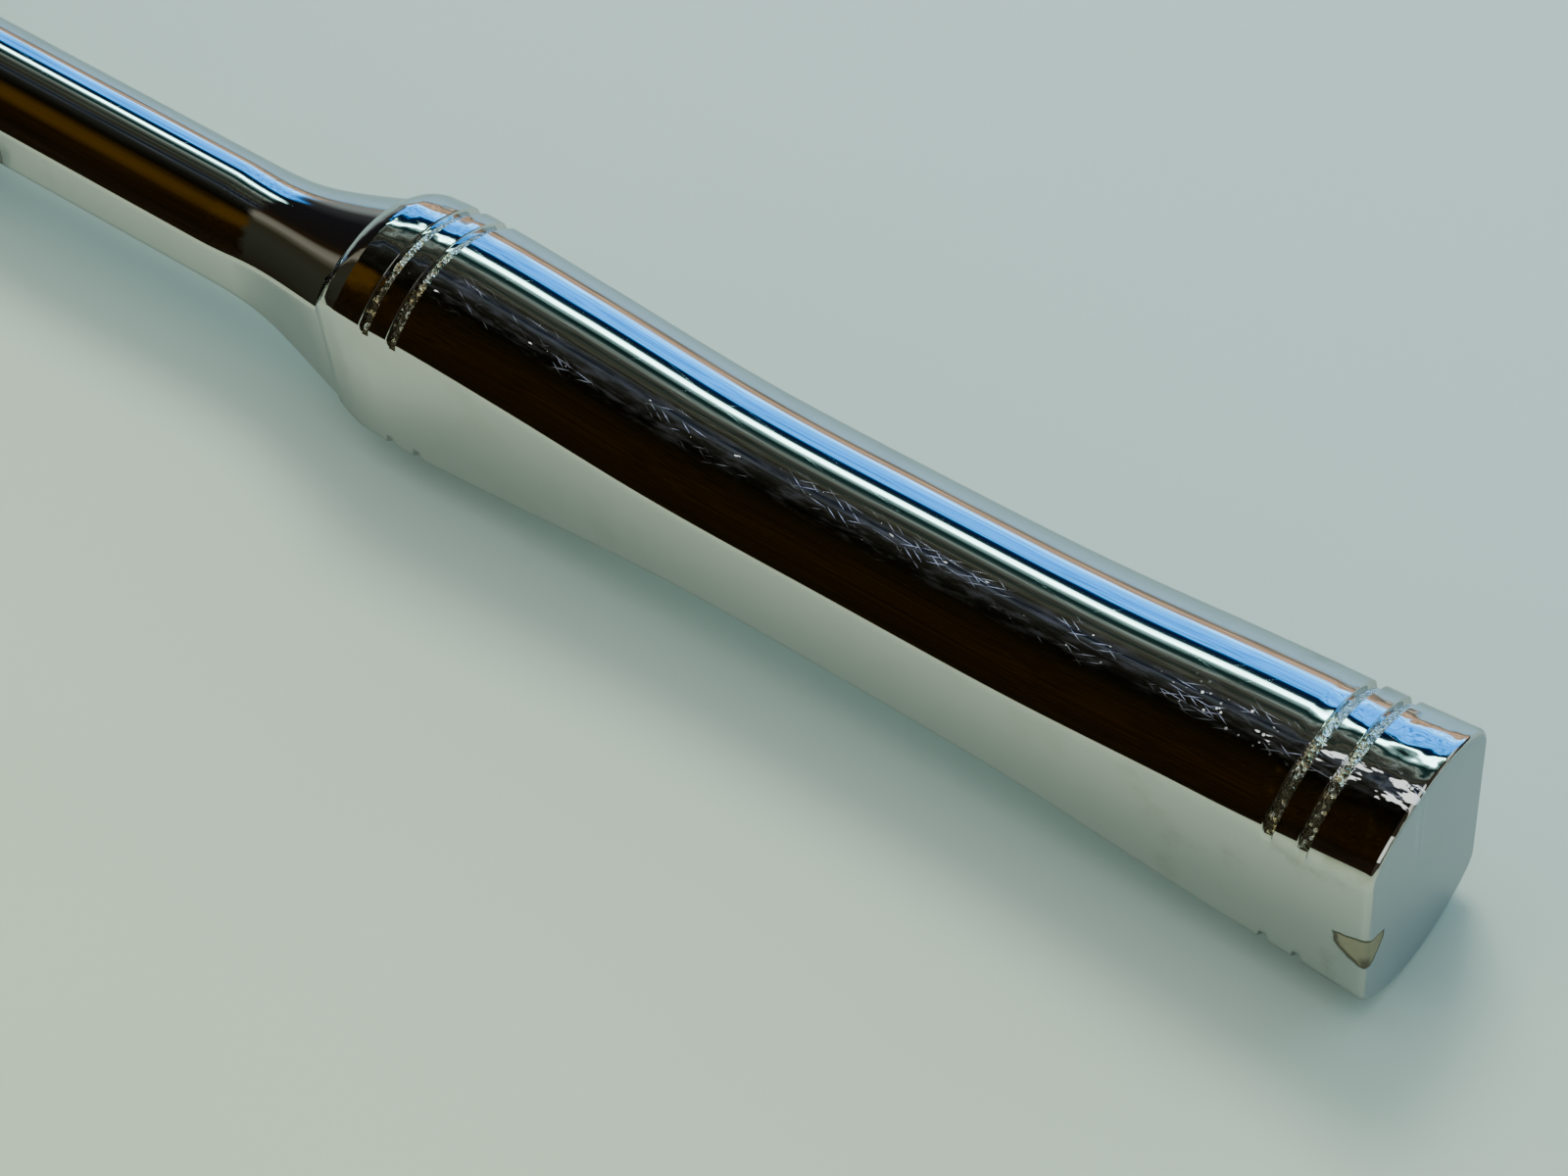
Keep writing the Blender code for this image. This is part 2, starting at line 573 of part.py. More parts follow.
def make_seal(name, radius, middle, x=0.0, turn=0.0):
    """A rubber ring in its groove, with rounded outer edges."""
    half = SEAL_WIDTH / 2
    inner = radius - SEAL_DEPTH + SEAL_FIT
    outer = radius + SEAL_PROUD
    soft = outer - SEAL_ROUNDING
    corners = ((inner, middle - half), (soft, middle - half), (outer, middle - half + SEAL_ROUNDING),
               (outer, middle + half - SEAL_ROUNDING), (soft, middle + half), (inner, middle + half))
    rings = [[(px, py, z) for px, py in circle(ring, ROUND)] for ring, z in corners]
    add_object(name, loft(bmesh.new(), rings, True), "rubber", at=(x, 0.0, 0.0), turn=turn)


def make_gear_washers():
    add_object("thrust_washer", washer(bmesh.new(), LOWER_JOURNAL_RADIUS + WASHER_FIT, THRUST_WASHER_RADIUS,
                                       FLOOR_Z + GAP, FLOOR_Z + GAP + WASHER_THICKNESS), "bronze")
    add_object("wear_washer", washer(bmesh.new(), UPPER_JOURNAL_RADIUS + WASHER_FIT, WEAR_WASHER_RADIUS,
                                     GEAR_TOP + GAP, GEAR_TOP + GAP + WASHER_THICKNESS), "bronze")


# Pawl -----------------------------------------------------------------------------------------
def rotate(point, angle, centre_x):
    x = point[0] - centre_x
    y = point[1]
    return (centre_x + x * math.cos(angle) - y * math.sin(angle), x * math.sin(angle) + y * math.cos(angle))


def pawl_outline():
    """Both toothed ends, drawn as they mesh with the gear and then turned back to neutral."""
    pitch = 2 * math.pi / TEETH
    meshed = [(PAWL_BELLY_RADIUS, (PAWL_FIRST_TIP - 0.3) * pitch)]
    for tooth in range(PAWL_TOOTH_COUNT):
        meshed.append((TIP_RADIUS + PAWL_TIP_CLEARANCE, (PAWL_FIRST_TIP + tooth) * pitch))
        meshed.append((ROOT_RADIUS + PAWL_ROOT_CLEARANCE, (PAWL_FIRST_TIP + tooth + 0.5) * pitch))
    last = (PAWL_FIRST_TIP + PAWL_TOOTH_COUNT) * pitch
    meshed += [(TIP_RADIUS + PAWL_TIP_CLEARANCE, last), (PAWL_END_RADIUS, last)]
    upper = [rotate((radius * math.cos(angle), radius * math.sin(angle)), -PAWL_ROCK, PAWL_PIVOT_X)
             for radius, angle in meshed]
    back = []
    for step in range(9):
        angle = PAWL_BACK_HALF_ANGLE * (1 - step / 4)
        back.append((LEVER_X - PAWL_BACK_RADIUS * math.cos(angle), PAWL_BACK_RADIUS * math.sin(angle)))
    lower = [(x, -y) for x, y in reversed(upper)]
    belly = [(PAWL_BELLY_RADIUS, 0.0)]
    return upper + back + lower + belly


def make_pawl():
    outline = [(x - PAWL_PIVOT_X, y) for x, y in pawl_outline()]
    pawl = add_object("pawl", prism(bmesh.new(), outline, PAWL_BOTTOM, PAWL_TOP), "steel",
                      at=(PAWL_PIVOT_X, 0.0, 0.0), turn=PAWL_ROCK)
    cut(pawl, cylinder_cutter("cutter_pawl_hole", PAWL_PIN_RADIUS + PAWL_FIT, FLOOR_Z, HEAD_TOP,
                              PAWL_PIVOT_X, count=SMALL_ROUND))
    low = FLOOR_Z - PAWL_PIN_DEPTH
    high = COVER_BOTTOM - GAP
    slim = PAWL_PIN_RADIUS - PAWL_PIN_BEVEL
    profile = [(0.0, low), (slim, low), (PAWL_PIN_RADIUS, low + PAWL_PIN_BEVEL),
               (PAWL_PIN_RADIUS, high - PAWL_PIN_BEVEL), (slim, high), (0.0, high)]
    add_object("pawl_pin", turned(bmesh.new(), profile, SMALL_ROUND), "steel", at=(PAWL_PIVOT_X, 0.0, 0.0))


# Selector lever -------------------------------------------------------------------------------
def paddle_outline():
    """A round hub tapering to a round thumb end, along local +X."""
    lean = math.asin((PADDLE_HUB_RADIUS - PADDLE_END_RADIUS) / PADDLE_LENGTH)
    touch = math.pi / 2 - lean
    points = []
    for step in range(21):
        angle = touch + (2 * math.pi - 2 * touch) * step / 20
        points.append((PADDLE_HUB_RADIUS * math.cos(angle), PADDLE_HUB_RADIUS * math.sin(angle)))
    for step in range(13):
        angle = -touch + 2 * touch * step / 12
        points.append((PADDLE_LENGTH + PADDLE_END_RADIUS * math.cos(angle),
                       PADDLE_END_RADIUS * math.sin(angle)))
    return points


def make_selector_lever():
    bottom = PADDLE_TOP - PADDLE_THICKNESS
    full = paddle_outline()
    narrowing = 1 - PADDLE_BEVEL / PADDLE_HUB_RADIUS
    shortening = 1 - PADDLE_BEVEL / (PADDLE_LENGTH + PADDLE_END_RADIUS)
    slim = [(x * shortening, y * narrowing) for x, y in full]
    paddle = loft(bmesh.new(), [[(x, y, bottom) for x, y in slim],
                                [(x, y, bottom + PADDLE_BEVEL) for x, y in full],
                                [(x, y, PADDLE_TOP) for x, y in full]])
    lever = add_object("selector_lever", paddle, "chrome", at=(LEVER_X, 0.0, 0.0), turn=-LEVER_SWING)
    ring_low = FLOOR_Z + LEVER_RING_FIT
    ring_high = ring_low + LEVER_RING_THICKNESS + 2 * LEVER_RING_FIT
    groove = STEM_RADIUS - LEVER_RING_GROOVE
    stem = [(0.0, PADDLE_TOP - 1 * MM), (STEM_RADIUS, PADDLE_TOP - 1 * MM)]
    stem += seal_groove(STEM_RADIUS, LEVER_SEAL_Z)
    stem += [(STEM_RADIUS, ring_low), (groove, ring_low), (groove, ring_high), (STEM_RADIUS, ring_high),
             (STEM_RADIUS, STEM_TOP - STEM_BEVEL), (STEM_RADIUS - STEM_BEVEL, STEM_TOP), (0.0, STEM_TOP)]
    combine(lever, add_object("lever_stem", turned(bmesh.new(), stem, ROUND), at=(LEVER_X, 0.0, 0.0),
                              turn=-LEVER_SWING), "UNION")
    bore = turned(bmesh.new(), [(0.0, -STEM_RADIUS * 2), (PLUNGER_RADIUS + PLUNGER_FIT, -STEM_RADIUS * 2),
                                (PLUNGER_RADIUS + PLUNGER_FIT, -PLUNGER_BORE_END), (0.0, -PLUNGER_BORE_END)],
                  SMALL_ROUND, "x")
    cut(lever, add_object("cutter_plunger_bore", bore, at=(LEVER_X, 0.0, PLUNGER_Z), turn=-LEVER_SWING))
    for index in range(PADDLE_RIDGES):
        near = FIRST_RIDGE_X + index * RIDGE_PITCH - RIDGE_HALF_WIDTH
        far = near + 2 * RIDGE_HALF_WIDTH
        outline = [(near, -PADDLE_HUB_RADIUS), (far, -PADDLE_HUB_RADIUS),
                   (far, PADDLE_HUB_RADIUS), (near, PADDLE_HUB_RADIUS)]
        cut(lever, add_object(f"cutter_ridge_{index}",
                              prism(bmesh.new(), outline, bottom - 1 * MM, bottom + RIDGE_DEPTH),
                              at=(LEVER_X, 0.0, 0.0), turn=-LEVER_SWING))
    ring = washer(bmesh.new(), groove + LEVER_RING_FIT, LEVER_RING_RADIUS, ring_low + LEVER_RING_FIT,
                  ring_low + LEVER_RING_FIT + LEVER_RING_THICKNESS)
    open_ring = add_object("lever_ring", ring, "spring_steel", at=(LEVER_X, 0.0, 0.0), turn=-LEVER_SWING)
    half = LEVER_RING_MOUTH / 2
    reach = LEVER_RING_RADIUS + 2 * MM
    mouth = [(0.0, -half), (reach, -half), (reach, half), (0.0, half)]
    cut(open_ring, add_object("cutter_ring_mouth",
                              prism(bmesh.new(), mouth, FLOOR_Z - 2 * MM, FLOOR_Z + 3 * MM),
                              at=(LEVER_X, 0.0, 0.0), turn=-LEVER_SWING))


def make_plunger():
    """A hollow plunger with a round nose, and its spring, both in the stem's cross bore."""
    outer = [(0.0, -PLUNGER_TIP)]
    outer += [(PLUNGER_RADIUS * wide, -PLUNGER_TIP + PLUNGER_NOSE * back)
              for wide, back in ((0.45, 0.12), (0.85, 0.5), (1.0, 1.0))]
    outer += [(PLUNGER_RADIUS, -PLUNGER_BACK), (PLUNGER_HOLLOW_RADIUS, -PLUNGER_BACK),
              (PLUNGER_HOLLOW_RADIUS, -PLUNGER_HOLLOW_END), (0.0, -PLUNGER_HOLLOW_END)]
    add_object("lever_plunger", turned(bmesh.new(), outer, SMALL_ROUND, "x"), "steel",
               at=(LEVER_X, 0.0, PLUNGER_Z), turn=-LEVER_SWING)
    spring = coil(bmesh.new(), PLUNGER_SPRING_RADIUS, PLUNGER_SPRING_WIRE, -PLUNGER_HOLLOW_END + 1 * MM,
                  -PLUNGER_BORE_END - 0.1 * MM, 6, "x", 4, 9)
    add_object("plunger_spring", spring, "spring_steel", at=(LEVER_X, 0.0, PLUNGER_Z), turn=-LEVER_SWING)


# Quick release --------------------------------------------------------------------------------
def make_release():
    socket = ROD_NECK_RADIUS + SCREW_FIT
    socket_floor = BUTTON_TOP - ROD_SOCKET_DEPTH
    button = [(0.0, BUTTON_BOTTOM)]
    button += [(BUTTON_RADIUS * wide, BUTTON_BOTTOM + BUTTON_DOME * up)
               for wide, up in ((0.55, 0.2), (0.88, 0.6), (1.0, 1.4))]
    button += [(BUTTON_RADIUS, BUTTON_TOP), (socket, BUTTON_TOP), (socket, socket_floor), (0.0, socket_floor)]
    add_object("release_button", turned(bmesh.new(), button, 24), "chrome")
    waist = BALL_Z - BUTTON_TRAVEL
    shoulder = CHAMBER_TOP - BUTTON_TRAVEL - ROD_SHOULDER_GAP
    land = waist + WAIST_RAMP
    top = land + ROD_LAND + ROD_BEVEL
    rod = [(0.0, socket_floor + GAP), (ROD_NECK_RADIUS, socket_floor + GAP),
           (ROD_NECK_RADIUS, shoulder), (ROD_RADIUS, shoulder), (ROD_RADIUS, waist - WAIST_ENTRY),
           (ROD_WAIST_RADIUS, waist - WAIST_LENGTH), (ROD_WAIST_RADIUS, waist), (ROD_RADIUS, land),
           (ROD_RADIUS, land + ROD_LAND), (ROD_RADIUS - ROD_BEVEL, top), (0.0, top)]
    add_object("release_rod", turned(bmesh.new(), rod, SMALL_ROUND), "steel")
    spring = coil(bmesh.new(), SPRING_RADIUS, SPRING_WIRE, BUTTON_TOP + SPRING_END_GAP,
                  CHAMBER_TOP - SPRING_END_GAP, 6)
    add_object("release_spring", spring, "spring_steel")
    rows = 8
    sphere = [(BALL_RADIUS * math.sin(math.pi * row / rows), -BALL_RADIUS * math.cos(math.pi * row / rows))
              for row in range(rows + 1)]
    sphere[0] = (0.0, -BALL_RADIUS)
    sphere[-1] = (0.0, BALL_RADIUS)
    add_object("retention_ball", turned(bmesh.new(), sphere, SMALL_ROUND), "steel",
               at=(0.0, -BALL_SHELF, BALL_Z))


def main():
    for old in list(bpy.data.objects):
        bpy.data.objects.remove(old)
    make_handle()
    make_cover()
    make_cover_screws()
    make_drive_gear()
    make_gear_washers()
    make_seal("anvil_seal_upper", UPPER_JOURNAL_RADIUS, UPPER_SEAL_Z)
    make_seal("anvil_seal_lower", LOWER_JOURNAL_RADIUS, LOWER_SEAL_Z)
    make_seal("lever_seal", STEM_RADIUS, LEVER_SEAL_Z, LEVER_X, -LEVER_SWING)
    make_pawl()
    make_selector_lever()
    make_plunger()
    make_release()


main()
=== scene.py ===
"""Looks of a chrome-plated half-inch-drive ratchet wrench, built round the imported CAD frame.

The row frame has its origin at the drive square's tip, +Z out of the square and +X along the handle.
The handle, the head's outer pieces and the lever are fine meshes that replace their CAD nodes; the
pieces inside the head keep their CAD shape and get a material.
"""
import json
import math

import bmesh
import bpy
import numpy as np
from mathutils import Euler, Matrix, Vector, noise


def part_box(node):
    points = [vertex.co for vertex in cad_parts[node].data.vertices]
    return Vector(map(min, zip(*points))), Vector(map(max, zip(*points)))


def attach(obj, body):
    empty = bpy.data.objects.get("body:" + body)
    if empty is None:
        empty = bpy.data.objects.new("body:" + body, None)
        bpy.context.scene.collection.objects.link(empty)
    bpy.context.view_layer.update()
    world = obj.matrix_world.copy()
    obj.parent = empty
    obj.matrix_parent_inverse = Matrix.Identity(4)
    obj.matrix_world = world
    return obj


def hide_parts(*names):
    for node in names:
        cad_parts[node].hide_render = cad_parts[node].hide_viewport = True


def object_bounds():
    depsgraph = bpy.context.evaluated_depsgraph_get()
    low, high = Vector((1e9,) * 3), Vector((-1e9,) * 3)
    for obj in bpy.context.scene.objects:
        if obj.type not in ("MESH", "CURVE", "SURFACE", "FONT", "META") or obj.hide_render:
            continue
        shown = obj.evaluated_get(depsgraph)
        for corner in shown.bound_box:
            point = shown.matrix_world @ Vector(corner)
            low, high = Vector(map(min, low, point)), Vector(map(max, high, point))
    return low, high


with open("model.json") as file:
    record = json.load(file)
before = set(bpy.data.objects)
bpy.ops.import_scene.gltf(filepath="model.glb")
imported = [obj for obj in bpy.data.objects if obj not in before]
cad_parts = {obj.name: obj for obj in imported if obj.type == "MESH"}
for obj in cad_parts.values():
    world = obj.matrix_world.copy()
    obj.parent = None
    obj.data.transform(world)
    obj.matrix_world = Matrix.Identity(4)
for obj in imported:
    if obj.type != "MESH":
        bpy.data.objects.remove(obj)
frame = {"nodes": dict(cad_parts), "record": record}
CAD_LOW, CAD_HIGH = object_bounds()

MM = 0.001

# Places that the frame gives
HANDLE_LOW, HANDLE_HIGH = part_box("handle_forging")
COVER_LOW, COVER_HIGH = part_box("cover_plate")
BUTT_X = HANDLE_HIGH[0]
MID_Z = (HANDLE_LOW[2] + HANDLE_HIGH[2]) / 2
HEAD_RADIUS = -HANDLE_LOW[0]
HEAD_TOP = COVER_HIGH[2]
HEAD_HALF = HEAD_TOP - MID_Z
HEAD_BOTTOM = MID_Z - HEAD_HALF
COVER_BOTTOM = COVER_LOW[2]
FLOOR_Z = CAD_LOW[2] - 0.05 * MM
JOINTS = {joint["name"]: joint for joint in frame["record"]["behaviour"]["joints"]}
LEVER_X = JOINTS["lever_flip"]["pos_m"][0]
PAWL_X = JOINTS["pawl_rock"]["pos_m"][0]
LEVER_REST = -math.radians(JOINTS["lever_flip"]["range_deg"][1] / 2)

# Head
TAIL_RADIUS = 14.5 * MM
TAIL_X = 29.0 * MM
HEAD_EDGE = 1.2 * MM
HEAD_CROWN = 0.03 * MM
EDGE_ZONE = 2.0 * MM                # plan width of the ring that follows the outline
RIM_WIDTH = 2.0 * MM
NECK_FILLET = 9.0 * MM
HEAD_FLAT_END = 43.4 * MM
NECK_END = 50.5 * MM

# Shaft and grip, as half sizes
SHAFT_HALF = 7.1 * MM
SHAFT_CROWN = 3.8 * MM
GRIP_CROWN = 4.4 * MM
FLARE_START_X = 103.0 * MM
FLARE_END_X = 127.0 * MM
SCOOP_START_X = 98.0 * MM
SCOOP_END_X = 134.0 * MM
SCOOP_RISE = 6.46 * MM
SHOULDER_X = 119.6 * MM             # crease between the shaft's scoop and the grip's round shoulder
SHOULDER_LENGTH = 5.0 * MM
SIDE_EDGE = 1.0 * MM
GRIP_EDGE = 0.8 * MM
BUTT_SIDE_EDGE = 3.4 * MM           # the polishing has rounded the side edges most near the butt
BUTT_EDGE = 0.8 * MM
GRIP_HALF_WIDTHS = (                # mm: (distance from the butt, half width)
    (0.0, 10.8), (24.0, 10.5), (66.0, 10.1), (111.0, 10.25), (134.0, 10.5),
)
GRIP_HALF_HEIGHTS = (               # mm: (distance from the butt, half height at the crown)
    (0.0, 15.8), (9.5, 14.7), (24.0, 13.5), (43.0, 11.75), (66.0, 11.2), (90.0, 11.3),
    (111.0, 13.25), (124.0, 14.25), (134.0, 14.4),
)
GROOVES = (8.1 * MM, 12.1 * MM, 125.3 * MM, 129.2 * MM)
GROOVE_WIDTH = 1.5 * MM
GROOVE_DEPTH = 0.55 * MM
GROOVE_CROWN = 1.2                  # extra crown of a groove's floor, as a share of its depth
GROOVE_FLANK = 0.32 * MM
GROOVE_GRAIN = 0.07 * MM
GRAIN_PITCH = 2600.0                # per metre
GRAIN_FINE_PITCH = 6000.0
GRAIN_FINE_SHARE = 0.6

# Points round one quarter of a section
FLAT_POINTS = 7
EDGE_POINTS = 5
CROWN_POINTS = 36

# Camera, as the tool is seen from its butt end
CAMERA_FROM_BUTT = Vector((93.1, -188.9, 322.4)) * MM
CAMERA_AZIMUTH = math.radians(42.7)
CAMERA_ELEVATION = math.radians(52.57)
CAMERA_ROLL = math.radians(-7.15)
CAMERA_LENS = 87.75                 # mm, on a sensor 36 mm wide
SENSOR_WIDTH = 36.0

# Node helpers
def opaque(colour):
    """A plain colour with its alpha, or a node's socket as it is."""
    return colour if isinstance(colour, bpy.types.NodeSocket) else (*colour, 1.0)


class Net:
    """Short calls for building a node tree."""

    def __init__(self, tree):
        self.tree = tree
        tree.nodes.clear()

    def add(self, kind, inputs=None, **settings):
        node = self.tree.nodes.new(kind)
        for name, value in settings.items():
            setattr(node, name, value)
        self.fill(node, inputs or {})
        return node

    def fill(self, node, inputs):
        """Link each input that is given a socket, and set the others."""
        for name, value in inputs.items():
            if isinstance(value, bpy.types.NodeSocket):
                self.tree.links.new(value, node.inputs[name])
            else:
                node.inputs[name].default_value = value

    def math(self, operation, *values, clamp=False):
        return self.add("ShaderNodeMath", dict(enumerate(values)), operation=operation,
                        use_clamp=clamp).outputs[0]

    def plus(self, first, second, clamp=False):
        return self.math("ADD", first, second, clamp=clamp)

    def minus(self, first, second, clamp=False):
        return self.math("SUBTRACT", first, second, clamp=clamp)

    def times(self, first, *others):
        for other in others:
            first = self.math("MULTIPLY", first, other)
        return first

    def largest(self, first, *others):
        for other in others:
            first = self.math("MAXIMUM", first, other)
        return first

    def size(self, value):
        return self.math("ABSOLUTE", value)

    def parts(self, vector):
        return tuple(self.add("ShaderNodeSeparateXYZ", {0: vector}).outputs)

    def step(self, value, low, high):
        """Smooth step from 0 at low to 1 at high; low may be the larger."""
        return self.add("ShaderNodeMapRange", {"Value": value, "From Min": low, "From Max": high},
                        interpolation_type="SMOOTHSTEP").outputs["Result"]

    def mix(self, factor, first, second):
        return self.add("ShaderNodeMix", {0: factor, 6: opaque(first), 7: opaque(second)},
                        data_type="RGBA").outputs[2]

    def scaled(self, vector, scale, turn=0.0):
        return self.add("ShaderNodeMapping", {"Vector": vector, "Scale": scale,
                                              "Rotation": (0.0, 0.0, turn)}).outputs["Vector"]

    def noise(self, vector, scale, detail=2.0, roughness=0.5):
        return self.add("ShaderNodeTexNoise", {"Vector": vector, "Scale": scale, "Detail": detail,
                                               "Roughness": roughness}).outputs["Fac"]

    def bump(self, height, distance, strength=1.0, under=None):
        """A bump, on top of another one's normal where that is given."""
        inputs = {"Height": height, "Distance": distance, "Strength": strength}
        if under is not None:
            inputs["Normal"] = under
        return self.add("ShaderNodeBump", inputs).outputs[0]

    def ramp(self, factor, stops):
        node = self.add("ShaderNodeValToRGB", {"Fac": factor})
        elements = node.color_ramp.elements
        while len(elements) < len(stops):
            elements.new(0.5)
        for element, (position, colour) in zip(elements, stops):
            element.position = position
            element.color = (*colour, 1.0)
        return node.outputs["Color"]


def new_material(name):
    made = bpy.data.materials.new(name)
    made.use_nodes = True
    net = Net(made.node_tree)
    shader = net.add("ShaderNodeBsdfPrincipled")
    net.add("ShaderNodeOutputMaterial", {"Surface": shader.outputs[0]})
    place = net.add("ShaderNodeTexCoord").outputs["Object"]
    return made, net, shader, place


# Materials
CHROME = (0.60, 0.585, 0.545)
CHROME_EDGE_TINT = (0.64, 0.65, 0.67)
FILM = (0.34, 0.30, 0.23)           # oil and dust in the smudges
FILM_SHARE = 0.3
GROUND_END_AND_SHADE = (0.36, 0.395, 0.405)   # the butt's end face, ground but not buffed, and darkened and tinted blue as painted shade
# Scuffs and scratches of the rubbed lane are real wear; their blue is a painted reflection of the window.
HAZE_AND_REFLECTION = (0.03, 0.06, 0.50)
SCRATCH_AND_REFLECTION = (0.36, 0.44, 0.90)
# Painted highlight: white for the glints on the rubbed lane.
PAINTED_GLINT = (1.0, 1.0, 1.0)
CHIP_FLOOR = (0.30, 0.25, 0.14)
CHIP_RIM = (0.06, 0.045, 0.025)
# Painted shade for the crease between the shaft and the grip's shoulder.
CREASE_SHADE = (0.02, 0.018, 0.015)
GRAIN_PALE = (0.95, 0.96, 0.86)
GRAIN_WARM = (0.95, 0.76, 0.42)
GRAIN_DARK = (0.13, 0.11, 0.07)
GRAIN_FAR_REFLECTION = (0.42, 0.45, 0.46)      # painted reflection on the crown's far side
OXIDE = (0.045, 0.045, 0.05)
BRONZE = (0.50, 0.34, 0.15)
SEAL_RUBBER = (0.015, 0.015, 0.016)
GROUND_STEEL = (0.50, 0.50, 0.52)
WIRE_STEEL = (0.30, 0.30, 0.32)
HAIRLINES = (                       # (direction, length, spacing, width, share of places scratched)
    (0.2, 9.0 * MM, 1.9 * MM, 0.02 * MM, 0.3),
    (-0.7, 6.0 * MM, 2.3 * MM, 0.02 * MM, 0.3),
)
GRIP_SCRATCHES = (                  # the same, for the worn lane on the grip's crown
    (0.45, 1.9 * MM, 0.62 * MM, 0.055 * MM, 0.34),
    (-0.30, 2.4 * MM, 0.71 * MM, 0.055 * MM, 0.32),
    (0.08, 3.6 * MM, 0.83 * MM, 0.050 * MM, 0.30),
)
LANE_Y = -2.7 * MM                  # middle of the worn lane
LANE_HALF = 2.6 * MM
LANE_CORE = 0.5 * MM
CHIP_TOP = -0.8 * MM                # above the handle's mid-plane, at the chip's two ends
CHIP_PEAK = 1.3 * MM                # how much higher it reaches on the edge itself
CHIP_HEIGHT = 5.2 * MM
CHIP_ALONG = 4.1 * MM
CHIP_ACROSS = 3.2 * MM
CREASE_SHADE_REACH = 3.4 * MM
CREASE_SHADE_GAP = 1.2 * MM                 # taken off the reach: the painted shade is patchy


def scratch_layer(net, place, turn, length, spacing, width, chance):
    """Separate straight scratches in one direction: 1 on a scratch. Sizes are in metres."""
    x, y, _ = net.parts(net.scaled(place, (1.0, 1.0, 1.0), turn))
    rows = net.math("DIVIDE", y, spacing)
    row = net.math("FLOOR", rows)
    shift = net.add("ShaderNodeTexWhiteNoise", {"W": row}, noise_dimensions="1D").outputs["Value"]
    runs = net.plus(net.math("DIVIDE", x, length), shift)
    cell = net.add("ShaderNodeCombineXYZ", {"X": net.math("FLOOR", runs), "Y": row})
    luck = net.add("ShaderNodeTexWhiteNoise", {"Vector": cell.outputs[0]}, noise_dimensions="2D")
    chosen = net.math("LESS_THAN", luck.outputs["Value"], chance)
    along = net.times(net.size(net.minus(net.math("FRACT", runs), 0.5)), 2.0)
    across = net.size(net.minus(net.math("FRACT", rows), 0.5))
    slim = net.times(net.minus(1.0, along), width / spacing)
    return net.times(chosen, net.math("LESS_THAN", across, slim))


def scratches(net, place, layers):
    return net.largest(*(scratch_layer(net, place, *layer) for layer in layers))


def grip_wear_and_glints(net, place, x, y, z):
    """Masks of the rubbed lane on the crown: scratches, painted glints (small white spots, and patches by
    the butt) and scuffs with a painted blue reflection.
    """
    lane = net.step(net.size(net.minus(y, LANE_Y)), LANE_HALF, LANE_CORE)
    clumps = net.noise(net.scaled(place, (110.0, 300.0, 1.0)), 1.0)
    near_butt = net.step(x, BUTT_X - 60 * MM, BUTT_X - 15 * MM)
    clumps = net.step(net.plus(clumps, net.times(near_butt, 0.06)), 0.50, 0.60)
    on_grip = net.step(x, SHOULDER_X + 8 * MM, SHOULDER_X + 13 * MM)
    on_top = net.times(on_grip, net.step(z, MID_Z + 5 * MM, MID_Z + 6 * MM))
    where = net.times(lane, clumps, on_top)
    marks = net.times(where, scratches(net, place, GRIP_SCRATCHES))
    # Painted highlights: white spots, and white patches by the butt, stand in for glints of light on the
    # worn crown.
    cells = net.add("ShaderNodeTexVoronoi", {"Vector": place, "Scale": 1050.0})
    radius = net.math("MULTIPLY_ADD", near_butt, 0.13, 0.05)
    painted_glints = net.times(where, net.math("LESS_THAN", cells.outputs["Distance"], radius))
    patches = net.noise(net.scaled(place, (330.0, 1100.0, 1.0), -0.1), 1.0, 2.0, 0.6)
    at_butt = net.step(x, BUTT_X - 24 * MM, BUTT_X - 5 * MM)
    patches = net.step(net.math("MULTIPLY_ADD", at_butt, 0.17, patches), 0.70, 0.74)
    patches = net.times(patches, net.math("GREATER_THAN", lane, 0.45), on_top)
    # Scuffs on the rubbed lane; the blue they are given is a painted reflection of the window.
    scuffs = net.noise(net.scaled(place, (260.0, 1500.0, 1.0), 0.12), 1.0, 3.0, 0.6)
    haze_and_reflection = net.times(lane, on_top, net.step(scuffs, 0.45, 0.75))
    return marks, net.largest(painted_glints, patches), haze_and_reflection


def plating_chip(net, place, x, y, z):
    """A half-moon of lost plating round the butt's near vertical edge: the chip and its dark rim."""
    along = net.math("DIVIDE", net.minus(BUTT_X, x), CHIP_ALONG)
    across = net.math("DIVIDE", net.plus(y, GRIP_HALF_WIDTHS[0][1] * MM), CHIP_ACROSS)
    ragged = net.times(net.minus(net.noise(place, 600.0, 3.0), 0.5), 0.35)
    reach = net.plus(net.largest(along, 0.0), net.largest(across, 0.0))
    peak = net.times(net.minus(1.0, reach, clamp=True), CHIP_PEAK)
    below = net.minus(net.plus(peak, MID_Z + CHIP_TOP), z)
    fall = net.math("DIVIDE", below, CHIP_HEIGHT)
    outline = net.plus(net.math("POWER", reach, 1.5), net.math("POWER", net.size(fall), 1.7))
    inside = net.plus(net.minus(1.0, outline), ragged)
    inside = net.math("MINIMUM", inside, net.plus(net.times(fall, 3.0), ragged))
    chip = net.step(inside, 0.0, 0.04)
    rim = net.times(net.step(inside, -0.09, 0.0), net.step(inside, 0.22, 0.08))
    stain = net.times(net.step(reach, 0.34, 0.1), net.step(fall, 0.5, 0.8))
    return chip, net.largest(rim, net.times(stain, chip))


